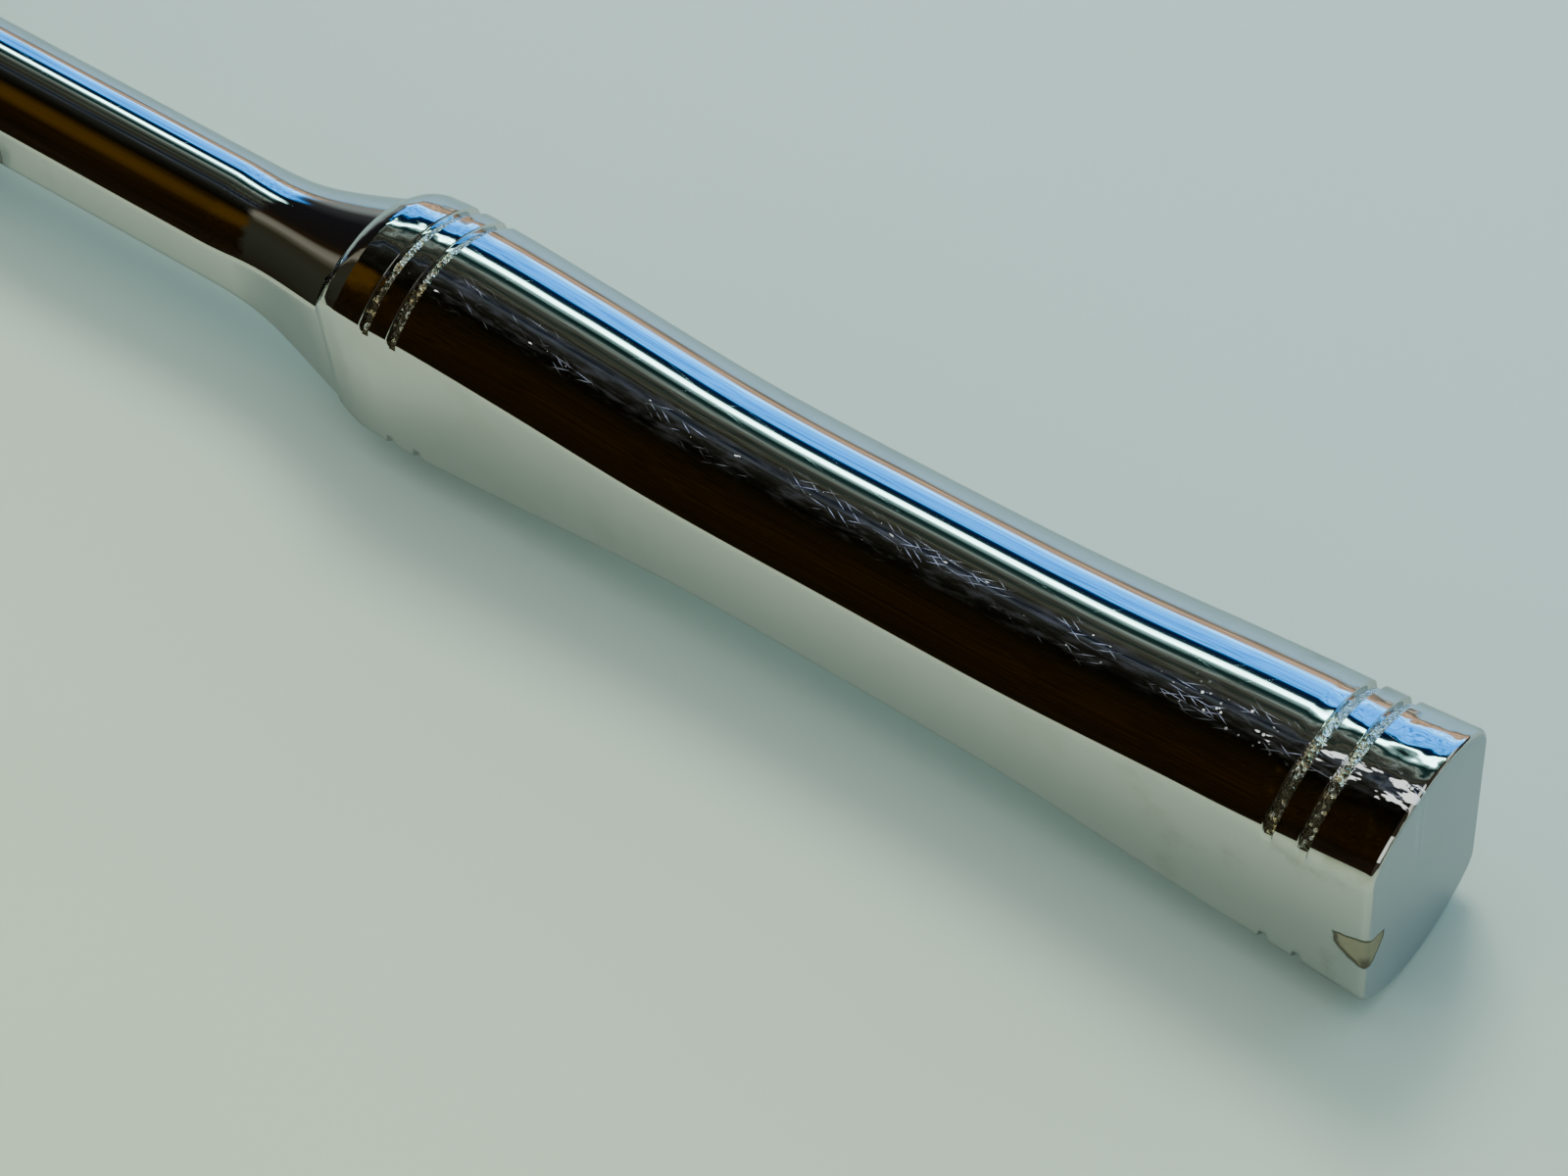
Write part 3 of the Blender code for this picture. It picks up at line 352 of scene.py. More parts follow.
def crease_painted_shade(net, place, x, y, z):
    """Painted shade in the crease: near-black patches, most of them on the handle's near side, and a thin
    dark line in the crease itself.
    """
    gap = net.size(net.minus(x, SHOULDER_X))
    spread = net.times(net.noise(place, 900.0, 4.0, 0.7), CREASE_SHADE_REACH)
    close = net.math("LESS_THAN", gap, net.minus(spread, CREASE_SHADE_GAP))
    side = net.step(y, -3.0 * MM, -7.0 * MM)
    thin = net.step(gap, 0.35 * MM, 0.1 * MM)
    crease_shade = net.largest(net.times(close, side), net.times(thin, 0.85))
    level = net.size(net.minus(z, MID_Z))
    return net.times(crease_shade, net.step(level, 7.6 * MM, 8.4 * MM))


def uneven_polish(net, x, y):
    """How wavy the polish is: strong past the butt's grooves and on the round shoulder."""
    butt = net.step(x, BUTT_X - 15 * MM, BUTT_X - 12 * MM)
    shoulder = net.times(net.step(x, SHOULDER_X, SHOULDER_X + 1 * MM),
                         net.step(x, SHOULDER_X + 13 * MM, SHOULDER_X + 10 * MM))
    crowned = net.step(net.size(y), 10.2 * MM, 9.2 * MM)
    return net.times(net.largest(butt, shoulder), crowned)


def chrome_coat(net, place, film_share, polished):
    """What all the chrome has: smudges, hairlines and the waves and ripples of polishing."""
    smudge = net.step(net.noise(place, 110.0, 5.0, 0.6), 0.5, 0.75)
    hairlines = scratches(net, place, HAIRLINES)
    rough = net.plus(net.plus(net.times(smudge, 0.03), 0.03), net.times(hairlines, 0.12))
    colour = net.mix(net.times(smudge, film_share), CHROME, FILM)
    ripple = net.noise(net.scaled(place, (30.0, 700.0, 700.0)), 1.0, 1.0, 0.4)
    bump = net.bump(net.noise(place, 55.0, 1.0, 0.3), 0.03 * MM)
    bump = net.bump(net.times(ripple, polished), 0.0025 * MM, under=bump)
    return colour, rough, bump


def set_chrome(net, shader, colour, rough, metallic, bump):
    net.fill(shader, {"Base Color": colour, "Roughness": rough, "Metallic": metallic,
                      "Specular Tint": opaque(CHROME_EDGE_TINT), "Normal": bump})


def chrome_material(name):
    """Bright chrome of the head's outer pieces."""
    made, net, shader, place = new_material(name)
    colour, rough, bump = chrome_coat(net, place, FILM_SHARE, 1.0)
    set_chrome(net, shader, colour, rough, 1.0, bump)
    return made


def worn_chrome_material(name):
    """The handle's chrome: rubbed crown with painted glints and painted blue reflections, chipped butt,
    painted shade in the crease, ground end face darkened with painted shade.
    """
    made, net, shader, place = new_material(name)
    x, y, z = net.parts(place)
    ground = net.step(x, BUTT_X - 0.25 * MM, BUTT_X - 0.05 * MM)
    polished = net.minus(1.0, ground)
    near_butt = net.step(x, BUTT_X - 35 * MM, BUTT_X - 5 * MM)
    film_share = net.plus(net.times(near_butt, 0.8), 0.15)
    colour, rough, bump = chrome_coat(net, place, film_share, polished)
    marks, painted_glints, haze_and_reflection = grip_wear_and_glints(net, place, x, y, z)
    chip, rim = plating_chip(net, place, x, y, z)
    crease_shade = crease_painted_shade(net, place, x, y, z)
    off_chip = net.minus(ground, net.times(ground, chip))
    # Painted light among these colours: blue painted reflections on scuffs and scratches, white painted
    # glints, painted shade in the crease and on the end face.
    for share, layer in ((net.times(haze_and_reflection, 0.35), HAZE_AND_REFLECTION), (net.times(marks, 0.55), SCRATCH_AND_REFLECTION),
                         (painted_glints, PAINTED_GLINT), (net.times(chip, 0.85), CHIP_FLOOR),
                         (net.times(rim, 0.8), CHIP_RIM), (crease_shade, CREASE_SHADE), (off_chip, GROUND_END_AND_SHADE)):
        colour = net.mix(share, colour, layer)
    for mask, extra in ((marks, 0.3), (chip, 0.35), (crease_shade, 0.3), (ground, 0.3)):
        rough = net.plus(rough, net.times(mask, extra), clamp=True)
    bare = net.largest(net.times(marks, 0.45), net.times(chip, 0.4), net.times(haze_and_reflection, 0.07),
                       net.times(ground, 0.6), painted_glints)
    rolling = net.noise(net.scaled(place, (230.0, 330.0, 330.0)), 1.0, 1.5, 0.4)
    rolling = net.times(rolling, polished, uneven_polish(net, x, y))
    bump = net.bump(rolling, 0.22 * MM, under=bump)
    bump = net.bump(chip, -0.02 * MM, 0.4, bump)
    set_chrome(net, shader, colour, rough, net.minus(1.0, bare), bump)
    return made


def groove_material(name):
    """Plated but unpolished forging skin on the floors of the grooves: grains with painted glints, warm
    tint.
    """
    made, net, shader, place = new_material(name)
    _, y, _ = net.parts(place)
    grain = net.add("ShaderNodeTexVoronoi", {"Vector": place, "Scale": 2600.0})
    tint = net.step(net.noise(place, 500.0), 0.4, 0.65)
    shade = net.add("ShaderNodeSeparateColor", {0: grain.outputs["Color"]}).outputs[0]
    # Painted light: few bright grains towards the near side as painted shade, many in the middle as
    # painted glints.
    near_side_shade = net.step(y, -1.0 * MM, -7.5 * MM)
    glint = net.step(shade, net.math("MULTIPLY_ADD", near_side_shade, 0.60, 0.05),
                     net.math("MULTIPLY_ADD", near_side_shade, 0.55, 0.35))
    colour = net.mix(glint, GRAIN_DARK, net.mix(tint, GRAIN_PALE, GRAIN_WARM))
    # A gray painted reflection on the crown's far side.
    far_reflection = net.step(y, 0.5 * MM, 4.0 * MM)
    colour = net.mix(net.times(far_reflection, 0.7), colour, GRAIN_FAR_REFLECTION)
    bump = net.bump(grain.outputs["Distance"], 0.16 * MM)
    bump = net.bump(net.noise(place, 1900.0, 3.0, 0.7), 0.20 * MM, under=bump)
    net.fill(shader, {"Base Color": colour, "Roughness": 0.22, "Metallic": 0.93, "Normal": bump})
    return made


def steel_material(name, colour, roughness, turned_marks=False):
    """Machined steel: faint tool marks, stains and an uneven polish."""
    made, net, shader, place = new_material(name)
    stain = net.step(net.noise(place, 260.0, 4.0, 0.6), 0.45, 0.75)
    pitch = 9000.0 if turned_marks else 900.0
    marks = net.noise(net.scaled(place, (900.0, 900.0, pitch)), 1.0)
    dark = tuple(channel * 0.62 for channel in colour)
    net.fill(shader, {"Base Color": net.mix(net.times(stain, 0.6), colour, dark),
                      "Roughness": net.plus(net.times(marks, 0.16), roughness - 0.08),
                      "Metallic": 1.0, "Normal": net.bump(marks, 0.01 * MM, 0.5)})
    return made


def soft_material(name, colour, roughness, scale):
    """Rubber or oiled fibre: fine mottling and a dull, uneven surface."""
    made, net, shader, place = new_material(name)
    mottle = net.noise(place, scale, 4.0, 0.6)
    pale = tuple(min(channel * 1.8 + 0.01, 1.0) for channel in colour)
    net.fill(shader, {"Base Color": net.mix(net.step(mottle, 0.4, 0.7), colour, pale),
                      "Roughness": net.plus(net.times(mottle, 0.2), roughness - 0.1),
                      "Normal": net.bump(mottle, 0.02 * MM, 0.4)})
    return made


# Mesh helpers
def smooth(target, angle):
    """Smooth faces, with sharp edges where they meet at more than the angle in degrees."""
    target.data.shade_smooth()
    target.data.set_sharp_from_angle(angle=math.radians(angle))


def finish_mesh(name, shape, materials, angle=30.0):
    """Link a bmesh as an object with smooth faces and sharp corners."""
    bmesh.ops.recalc_face_normals(shape, faces=shape.faces)
    mesh = bpy.data.meshes.new(name)
    shape.to_mesh(mesh)
    shape.free()
    made = bpy.data.objects.new(name, mesh)
    bpy.context.collection.objects.link(made)
    for entry in materials:
        mesh.materials.append(entry)
    smooth(made, angle)
    return made


def arc(x, y, radius, angles):
    """Points on an arc, each with its normal; a negative radius makes a hollow arc."""
    normals = [(math.cos(angle), math.sin(angle)) for angle in angles]
    return [((x + radius * normal[0], y + radius * normal[1]), normal) for normal in normals]


def circle(radius, count, x=0.0, y=0.0):
    angles = [2 * math.pi * step / count for step in range(count)]
    return [spot for spot, _ in arc(x, y, radius, angles)]


def skin(rings):
    """Join rings of points that have equal counts, and cap the two ends."""
    shape = bmesh.new()
    rows = [[shape.verts.new(point) for point in ring] for ring in rings]
    for near, far in zip(rows, rows[1:]):
        for index in range(len(near)):
            following = (index + 1) % len(near)
            shape.faces.new((near[index], near[following], far[following], far[index]))
    shape.faces.new(list(reversed(rows[0])))
    shape.faces.new(rows[-1])
    return shape


def prism(outline, bottom, top):
    return skin([[(x, y, z) for x, y in outline] for z in (bottom, top)])


def turned(profile, count, x=0.0, y=0.0):
    """A solid of revolution about a vertical line; both ends of the profile are on the line."""
    shape = bmesh.new()
    rings = []
    for radius, height in profile:
        spots = [(x, y)] if radius == 0 else circle(radius, count, x, y)
        rings.append([shape.verts.new((px, py, height)) for px, py in spots])
    for near, far in zip(rings, rings[1:]):
        for index in range(count):
            following = (index + 1) % count
            corners = (near[index % len(near)], near[following % len(near)],
                       far[following % len(far)], far[index % len(far)])
            shape.faces.new(list(dict.fromkeys(corners)))
    return shape


def round_two_circles(large, small, apart, large_count, small_count):
    """Outline round two circles on the X axis and the straight sides that touch both."""
    touch = math.acos((large - small) / apart)
    points = arc(0.0, 0.0, large, np.linspace(touch, 2 * math.pi - touch, large_count))
    points += arc(apart, 0.0, small, np.linspace(-touch, touch, small_count))
    return [spot for spot, _ in points]


def teardrop(inset):
    """Plan outline of the head's cover and recess."""
    return round_two_circles(HEAD_RADIUS - inset, TAIL_RADIUS - inset, TAIL_X, 97, 49)


def apply_boolean(target, shapes, operation="DIFFERENCE"):
    """Cut or join with other shapes, and keep the result as plain mesh data."""
    tools = [finish_mesh("tool", shape, []) for shape in shapes]
    for tool in tools:
        step = target.modifiers.new("boolean", "BOOLEAN")
        step.object = tool
        step.operation = operation
        step.solver = "EXACT"
    keep_modifiers(target)
    for tool in tools:
        bpy.data.objects.remove(tool)


def keep_modifiers(target):
    """Replace an object's mesh with its evaluated one."""
    bpy.context.view_layer.update()
    evaluated = target.evaluated_get(bpy.context.evaluated_depsgraph_get())
    solid = bpy.data.meshes.new_from_object(evaluated)
    target.modifiers.clear()
    old = target.data
    target.data = solid
    bpy.data.meshes.remove(old)


def soften(target, width, segments=3, angle=35.0):
    """Round the piece's hard corners."""
    step = target.modifiers.new("edges", "BEVEL")
    step.width = width
    step.segments = segments
    step.limit_method = "ANGLE"
    step.angle_limit = math.radians(angle)
    step.use_clamp_overlap = True
    keep_modifiers(target)
    smooth(target, angle)


def stand_for(piece, node, body):
    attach(piece, body)
    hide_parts(node)


# Handle
def ease(value, start, end):
    share = min(max((value - start) / (end - start), 0.0), 1.0)
    return share * share * (3 - 2 * share)


def smooth_curve(points, where):
    """The height at one place of a smooth curve through (place, height) points given in mm."""
    places = [point[0] * MM for point in points]
    heights = [point[1] * MM for point in points]
    slopes = np.gradient(heights, places)
    index = int(np.clip(np.searchsorted(places, where) - 1, 0, len(places) - 2))
    span = places[index + 1] - places[index]
    t = float(np.clip((where - places[index]) / span, 0.0, 1.0))
    return (heights[index] * (1 + 2 * t) * (1 - t) ** 2 + heights[index + 1] * t * t * (3 - 2 * t)
            + span * (slopes[index] * t * (1 - t) ** 2 + slopes[index + 1] * t * t * (t - 1)))


def bar_half_width(x):
    grip = smooth_curve(GRIP_HALF_WIDTHS, BUTT_X - x)
    return SHAFT_HALF + (grip - SHAFT_HALF) * ease(x, FLARE_START_X, FLARE_END_X)


def shoulder_share(x):
    """How far the grip's round shoulder has risen: 0 on the shaft, 1 on the grip."""
    share = min(max((x - SHOULDER_X) / SHOULDER_LENGTH, 0.0), 1.0)
    return math.sqrt(1 - (1 - share) ** 2)


def bar_half_height(x):
    neck = (HEAD_HALF - SHAFT_HALF) * (1 - ease(x, HEAD_FLAT_END, NECK_END))
    shaft = SHAFT_HALF + neck + SCOOP_RISE * ease(min(x, SHOULDER_X), SCOOP_START_X, SCOOP_END_X)
    grip = smooth_curve(GRIP_HALF_HEIGHTS, BUTT_X - x)
    return shaft + (grip - shaft) * shoulder_share(x)


def bar_crown(x):
    neck = HEAD_CROWN + (SHAFT_CROWN - HEAD_CROWN) * ease(x, HEAD_FLAT_END - 1 * MM, NECK_END)
    return neck + (GRIP_CROWN - SHAFT_CROWN) * shoulder_share(x)


def edge_radius(x):
    head = (HEAD_EDGE - SIDE_EDGE) * (1 - ease(x, HEAD_FLAT_END - 4 * MM, NECK_END))
    grip = (GRIP_EDGE - SIDE_EDGE) * ease(x, FLARE_START_X, FLARE_END_X)
    butt = (BUTT_SIDE_EDGE - GRIP_EDGE) * ease(x, BUTT_X - 20 * MM, BUTT_X)
    return SIDE_EDGE + head + grip + butt


def head_stations():
    """Outline points of the head and neck with their outward normals, from the nose backwards."""
    lean = math.acos((HEAD_RADIUS - TAIL_RADIUS) / TAIL_X)
    fillet_y = SHAFT_HALF + NECK_FILLET
    fillet_x = TAIL_X + math.sqrt((TAIL_RADIUS + NECK_FILLET) ** 2 - fillet_y ** 2)
    meet = math.atan2(fillet_y, fillet_x - TAIL_X)
    nose = arc(0.0, 0.0, HEAD_RADIUS, np.linspace(math.pi, lean, 80))
    tail = arc(TAIL_X, 0.0, TAIL_RADIUS, np.linspace(lean, meet, 16))
    neck = arc(fillet_x, fillet_y, -NECK_FILLET, np.linspace(meet, math.pi / 2, 26)[1:])
    (near_x, near_y), normal = nose[-1]
    far_x, far_y = tail[0][0]
    side = [((near_x + (far_x - near_x) * share, near_y + (far_y - near_y) * share), normal)
            for share in np.linspace(0, 1, 22)[1:-1]]
    return nose + side + tail + neck, fillet_x


def bar_places(start):
    """(x, groove depth) along the shaft and grip."""
    plain = [SHOULDER_X + SHOULDER_LENGTH * share ** 2 for share in np.linspace(0, 0.86, 24)]
    for low, high, pitch in ((start + 0.3 * MM, NECK_END + 0.5 * MM, 0.3 * MM),
                             (NECK_END + 1.5 * MM, SCOOP_START_X, 1.5 * MM),
                             (SCOOP_START_X, SHOULDER_X - 0.2 * MM, 0.5 * MM),
                             (BUTT_X - 123.8 * MM, BUTT_X - 13.2 * MM, 1.0 * MM)):
        plain += list(np.arange(low, high, pitch))
    for far, near, count in ((10.6 * MM, 9.4 * MM, 4), (127.8 * MM, 126.4 * MM, 4),
                             (6.8 * MM, BUTT_EDGE, 16)):
        plain += list(np.linspace(BUTT_X - far, BUTT_X - near, count))
    places = [(float(x), 0.0) for x in plain]
    half = GROOVE_WIDTH / 2
    for from_butt in GROOVES:
        for offset in np.linspace(-half, half, 21):
            depth = ease(half - abs(offset), 0.0, GROOVE_FLANK)
            places.append((BUTT_X - from_butt + float(offset), GROOVE_DEPTH * depth))
        for side in (-1, 1):
            places.append((BUTT_X - from_butt + side * (half + 0.1 * MM), 0.0))
    return sorted(places)


def section_quarter(half_width, half_height, crown, edge):
    """(inset from the side, height) from the middle of the side to the top of the crown."""
    radius = (half_width ** 2 + crown ** 2) / (2 * crown)
    centre = half_height - radius
    edge_centre = centre + math.sqrt((radius - edge) ** 2 - (half_width - edge) ** 2)
    turn = math.atan2(edge_centre - centre, half_width - edge)
    points = [(0.0, edge_centre * step / FLAT_POINTS) for step in range(FLAT_POINTS)]
    for step in range(EDGE_POINTS):
        angle = turn * step / EDGE_POINTS
        points.append((edge - edge * math.cos(angle), edge_centre + edge * math.sin(angle)))
    for step in range(CROWN_POINTS + 1):
        angle = turn + (math.pi / 2 - turn) * step / CROWN_POINTS
        points.append((half_width - radius * math.cos(angle), centre + radius * math.sin(angle)))
    return points


def section_ring(spot, normal, half_height, crown, edge):
    """One closed ring of the handle's skin, across the tool at an outline point."""
    inner = (spot[0] - normal[0] * EDGE_ZONE, spot[1] - normal[1] * EDGE_ZONE)
    inner = (inner[0], max(inner[1], 0.0))
    width = EDGE_ZONE + inner[1]
    half = []
    for inset, height in section_quarter(width, half_height, crown, edge):
        if inset <= EDGE_ZONE:
            place = (spot[0] - normal[0] * inset, spot[1] - normal[1] * inset)
        else:
            place = (inner[0], inner[1] * (width - inset) / (width - EDGE_ZONE))
        half.append((place[0], max(place[1], 0.0), height))
    top = half + [(x, -y, z) for x, y, z in reversed(half[:-1])]
    bottom = [(x, y, -z) for x, y, z in reversed(top[1:-1])]
    return [(x, y, MID_Z + z) for x, y, z in top + bottom]


def handle_skin():
    """The whole outside of the handle; faces on groove floors get the second material."""
    rings = []
    floors = []
    head, start = head_stations()
    for spot, normal in head:
        x = spot[0]
        rings.append(section_ring(spot, normal, bar_half_height(x), bar_crown(x), edge_radius(x)))
        floors.append(0.0)
    for x, depth in bar_places(start):
        crown = bar_crown(x) + depth * GROOVE_CROWN
        rings.append(section_ring((x, bar_half_width(x)), (0.0, 1.0), bar_half_height(x) - depth, crown,
                                  edge_radius(x)))
        floors.append(depth)
    for angle in np.linspace(0, math.pi / 2, 6)[1:]:
        inset = BUTT_EDGE * (1 - math.cos(angle))
        x = BUTT_X - BUTT_EDGE * (1 - math.sin(angle))
        rings.append(section_ring((x, bar_half_width(x) - inset), (0.0, 1.0), bar_half_height(x) - inset,
                                  GRIP_CROWN, edge_radius(x)))
        floors.append(0.0)
    for ring, depth in zip(rings, floors):
        if depth > GROOVE_DEPTH * 0.9:
            for index, point in enumerate(ring):
                if abs(point[1]) < bar_half_width(point[0]) - edge_radius(point[0]):
                    grain = noise.noise(Vector(point) * GRAIN_PITCH)
                    grain += GRAIN_FINE_SHARE * noise.noise(Vector(point) * GRAIN_FINE_PITCH)
                    away = 1.0 if point[2] > MID_Z else -1.0
                    ring[index] = (point[0], point[1], point[2] + away * grain * GROOVE_GRAIN)
    shape = skin(rings)
    bmesh.ops.remove_doubles(shape, verts=shape.verts, dist=0.002 * MM)
    bmesh.ops.dissolve_degenerate(shape, edges=shape.edges, dist=0.001 * MM)
    for face in shape.faces:
        centre = face.calc_center_median()
        near = min(abs(BUTT_X - from_butt - centre.x) for from_butt in GROOVES)
        crowned = abs(centre.y) < bar_half_width(centre.x) - edge_radius(centre.x) * 0.2
        if near < GROOVE_WIDTH / 2 - GROOVE_FLANK and crowned:
            face.material_index = 1
    return shape


# Pockets and bores of the head
SEAT_Z = COVER_BOTTOM - 1.1 * MM
POCKET_FLOOR = HEAD_BOTTOM + 7.5 * MM
GEAR_POCKET_RADIUS = 16.7 * MM
STEM_POCKET_RADIUS = 7.0 * MM
PAWL_POCKET = ((9.0 * MM, 15.0 * MM), (15.2 * MM, 14.6 * MM), (30.0 * MM, 5.8 * MM))
LOWER_BORE_RADIUS = 8.1 * MM
STEM_BORE_RADIUS = 4.65 * MM
PIN_BORE_RADIUS = 2.0 * MM
PIN_BORE_DEPTH = 4.0 * MM
TAPPING_RADIUS = 1.35 * MM
TAPPING_DEPTH = 10.0 * MM
SCREWS = {"cover_screw_right": -1, "cover_screw_left": 1}
SCREW_X = 28.5 * MM
SCREW_Y = 9.2 * MM


def make_handle():
    handle = finish_mesh("handle", handle_skin(),
                         [worn_chrome_material("handle_chrome"), groove_material("groove_skin")])
    over = HEAD_TOP + 2 * MM
    under = HEAD_BOTTOM - 2 * MM
    pawl_pocket = list(PAWL_POCKET) + [(x, -y) for x, y in reversed(PAWL_POCKET)]
    hollow = finish_mesh("hollow", prism(teardrop(RIM_WIDTH), SEAT_Z, over), [])
    apply_boolean(hollow, [
        prism(pawl_pocket, POCKET_FLOOR, over),
        prism(circle(GEAR_POCKET_RADIUS, 96), POCKET_FLOOR, over),
        prism(circle(STEM_POCKET_RADIUS, 64, LEVER_X), POCKET_FLOOR, over),
        prism(circle(LOWER_BORE_RADIUS, 96), under, over),
        prism(circle(STEM_BORE_RADIUS, 64, LEVER_X), under, over),
        prism(circle(PIN_BORE_RADIUS, 32, PAWL_X), POCKET_FLOOR - PIN_BORE_DEPTH, over),
    ] + [prism(circle(TAPPING_RADIUS, 32, SCREW_X, side * SCREW_Y), HEAD_TOP - TAPPING_DEPTH, over)
         for side in SCREWS.values()], "UNION")
    cut = bmesh.new()
    cut.from_mesh(hollow.data)
    bpy.data.objects.remove(hollow)
    apply_boolean(handle, [cut])
    smooth(handle, 30.0)
    stand_for(handle, "handle_forging", "handle")


# Head pieces
COVER_INSET = RIM_WIDTH + 0.3 * MM
JOURNAL_RADIUS = 10.4 * MM
JOURNAL_HOLE = 10.6 * MM
SCREW_RADIUS = 1.25 * MM
SCREW_HEAD_RADIUS = 2.2 * MM
SCREW_HEAD_DEPTH = 1.2 * MM
SCREW_LENGTH = 9.0 * MM
SCREW_GAP = 0.3 * MM
SLOT_LENGTH = 2.6 * MM
SLOT_WIDTH = 0.5 * MM
SLOT_DEPTH = 0.7 * MM


def make_cover():
    cover = finish_mesh("cover", prism(teardrop(COVER_INSET), COVER_BOTTOM, HEAD_TOP),
                        [chrome_material("cover_chrome")])
    under = COVER_BOTTOM - 1 * MM
    over = HEAD_TOP + 1 * MM
    shank = SCREW_RADIUS + SCREW_GAP
    head = SCREW_HEAD_RADIUS + SCREW_GAP
    profile = [(0.0, under), (shank, under), (shank, HEAD_TOP - SCREW_HEAD_DEPTH - SCREW_GAP),
               (head, HEAD_TOP), (head, over), (0.0, over)]
    apply_boolean(cover, [prism(circle(JOURNAL_HOLE, 96), under, over)]
                  + [turned(profile, 48, SCREW_X, side * SCREW_Y) for side in SCREWS.values()])
    soften(cover, 0.22 * MM)
    stand_for(cover, "cover_plate", "handle")


def make_screws():
    low = HEAD_TOP - SCREW_LENGTH
    profile = [(0.0, low), (SCREW_RADIUS * 0.7, low), (SCREW_RADIUS, low + 0.6 * MM),
               (SCREW_RADIUS, HEAD_TOP - SCREW_HEAD_DEPTH), (SCREW_HEAD_RADIUS, HEAD_TOP - 0.12 * MM),
               (SCREW_HEAD_RADIUS - 0.06 * MM, HEAD_TOP - 0.03 * MM),
               (SCREW_HEAD_RADIUS - 0.2 * MM, HEAD_TOP), (0.0, HEAD_TOP)]
    finish = steel_material("black_oxide", OXIDE, 0.42)
    for name, side in SCREWS.items():
        y = side * SCREW_Y
        screw = finish_mesh(name.replace("cover", "fine"), turned(profile, 48, SCREW_X, y), [finish])
        turn = 0.5 + side * 0.35        # each was left at its own angle
        slots = []
        for quarter in (0.0, math.pi / 2):
            slot = []
            for along, across in ((-1, -1), (1, -1), (1, 1), (-1, 1)):
                u, v = along * SLOT_LENGTH / 2, across * SLOT_WIDTH / 2
                angle = turn + quarter
                slot.append((SCREW_X + u * math.cos(angle) - v * math.sin(angle),
                             y + u * math.sin(angle) + v * math.cos(angle)))
            slots.append(prism(slot, HEAD_TOP - SLOT_DEPTH, HEAD_TOP + 1 * MM))
        apply_boolean(screw, slots)
        soften(screw, 0.06 * MM, 2)
        stand_for(screw, name, "handle")


# Gear, square and ball
TEETH = 48
TIP_RADIUS = 16.0 * MM
ROOT_RADIUS = 14.65 * MM
TIP_LAND = 0.12
GEAR_BOTTOM = POCKET_FLOOR + 1.4 * MM
GEAR_TOP = GEAR_BOTTOM + 11.9 * MM
LOWER_JOURNAL_RADIUS = 7.9 * MM
JOURNAL_TOP = HEAD_TOP + 0.4 * MM
JOURNAL_BOTTOM = HEAD_BOTTOM + 0.4 * MM
LOWER_SEAL_Z = HEAD_BOTTOM + 2.4 * MM
UPPER_SEAL_Z = HEAD_TOP - 1.4 * MM
SEAL_HALF = 0.7 * MM
SEAL_DEPTH = 0.65 * MM
SQUARE_HALF = 6.35 * MM
SQUARE_CORNER = 1.0 * MM
SQUARE_TIP = 0.8 * MM
CHAMBER_RADIUS = 4.6 * MM
CHAMBER_TOP = HEAD_BOTTOM + 10.0 * MM
ROD_BORE_RADIUS = 2.75 * MM
ROD_BORE_TOP = -2.2 * MM
BALL_RADIUS = 2.2 * MM
BALL_BORE_RADIUS = 2.35 * MM
BALL_Z = -6.8 * MM
BALL_Y = -(SQUARE_HALF + 0.9 * MM - BALL_RADIUS)


def seal_groove(radius, middle):
    floor = radius - SEAL_DEPTH
    return [(radius, middle - SEAL_HALF), (floor, middle - SEAL_HALF), (floor, middle + SEAL_HALF),
            (radius, middle + SEAL_HALF)]


def square_outline(half, corner):
    inner = half - corner
    return [(half, -inner), (half, inner), (inner, half), (-inner, half),
            (-half, inner), (-half, -inner), (-inner, -half), (inner, -half)]


def make_drive_gear():
    """Gear, journals and drive square in one, hollow for the quick release."""
    pitch = 2 * math.pi / TEETH
    teeth = []
    for tooth in range(TEETH):
        for share, radius in ((-TIP_LAND / 2, TIP_RADIUS), (TIP_LAND / 2, TIP_RADIUS), (0.5, ROOT_RADIUS)):
            angle = (tooth + share) * pitch
            teeth.append((radius * math.cos(angle), radius * math.sin(angle)))
    gear = finish_mesh("gear_and_square", prism(teeth, GEAR_BOTTOM, GEAR_TOP),
                       [steel_material("drive_steel", (0.46, 0.46, 0.47), 0.24)])
    journals = [(0.0, JOURNAL_BOTTOM), (LOWER_JOURNAL_RADIUS, JOURNAL_BOTTOM)]
    journals += seal_groove(LOWER_JOURNAL_RADIUS, LOWER_SEAL_Z)
    journals += [(LOWER_JOURNAL_RADIUS, MID_Z), (JOURNAL_RADIUS, MID_Z)]
    journals += seal_groove(JOURNAL_RADIUS, UPPER_SEAL_Z)
    journals += [(JOURNAL_RADIUS, JOURNAL_TOP), (0.0, JOURNAL_TOP)]
    rings = [(SQUARE_HALF, MID_Z), (SQUARE_HALF, -SQUARE_TIP), (SQUARE_HALF - SQUARE_TIP, 0.0)]
    square = skin([[(x, y, z) for x, y in square_outline(half, SQUARE_CORNER)] for half, z in rings])
    apply_boolean(gear, [turned(journals, 96), square], "UNION")
    ball_bore = skin([[(x, y, BALL_Z + z) for x, z in circle(BALL_BORE_RADIUS, 48)]
                      for y in (-SQUARE_HALF * 2, 0.0)])
    below = JOURNAL_BOTTOM - 1 * MM
    apply_boolean(gear, [prism(circle(ROD_BORE_RADIUS, 48), below, ROD_BORE_TOP),
                         prism(circle(CHAMBER_RADIUS, 64), below, CHAMBER_TOP), ball_bore])
    soften(gear, 0.12 * MM, 2)
    stand_for(gear, "drive_gear", "gear")


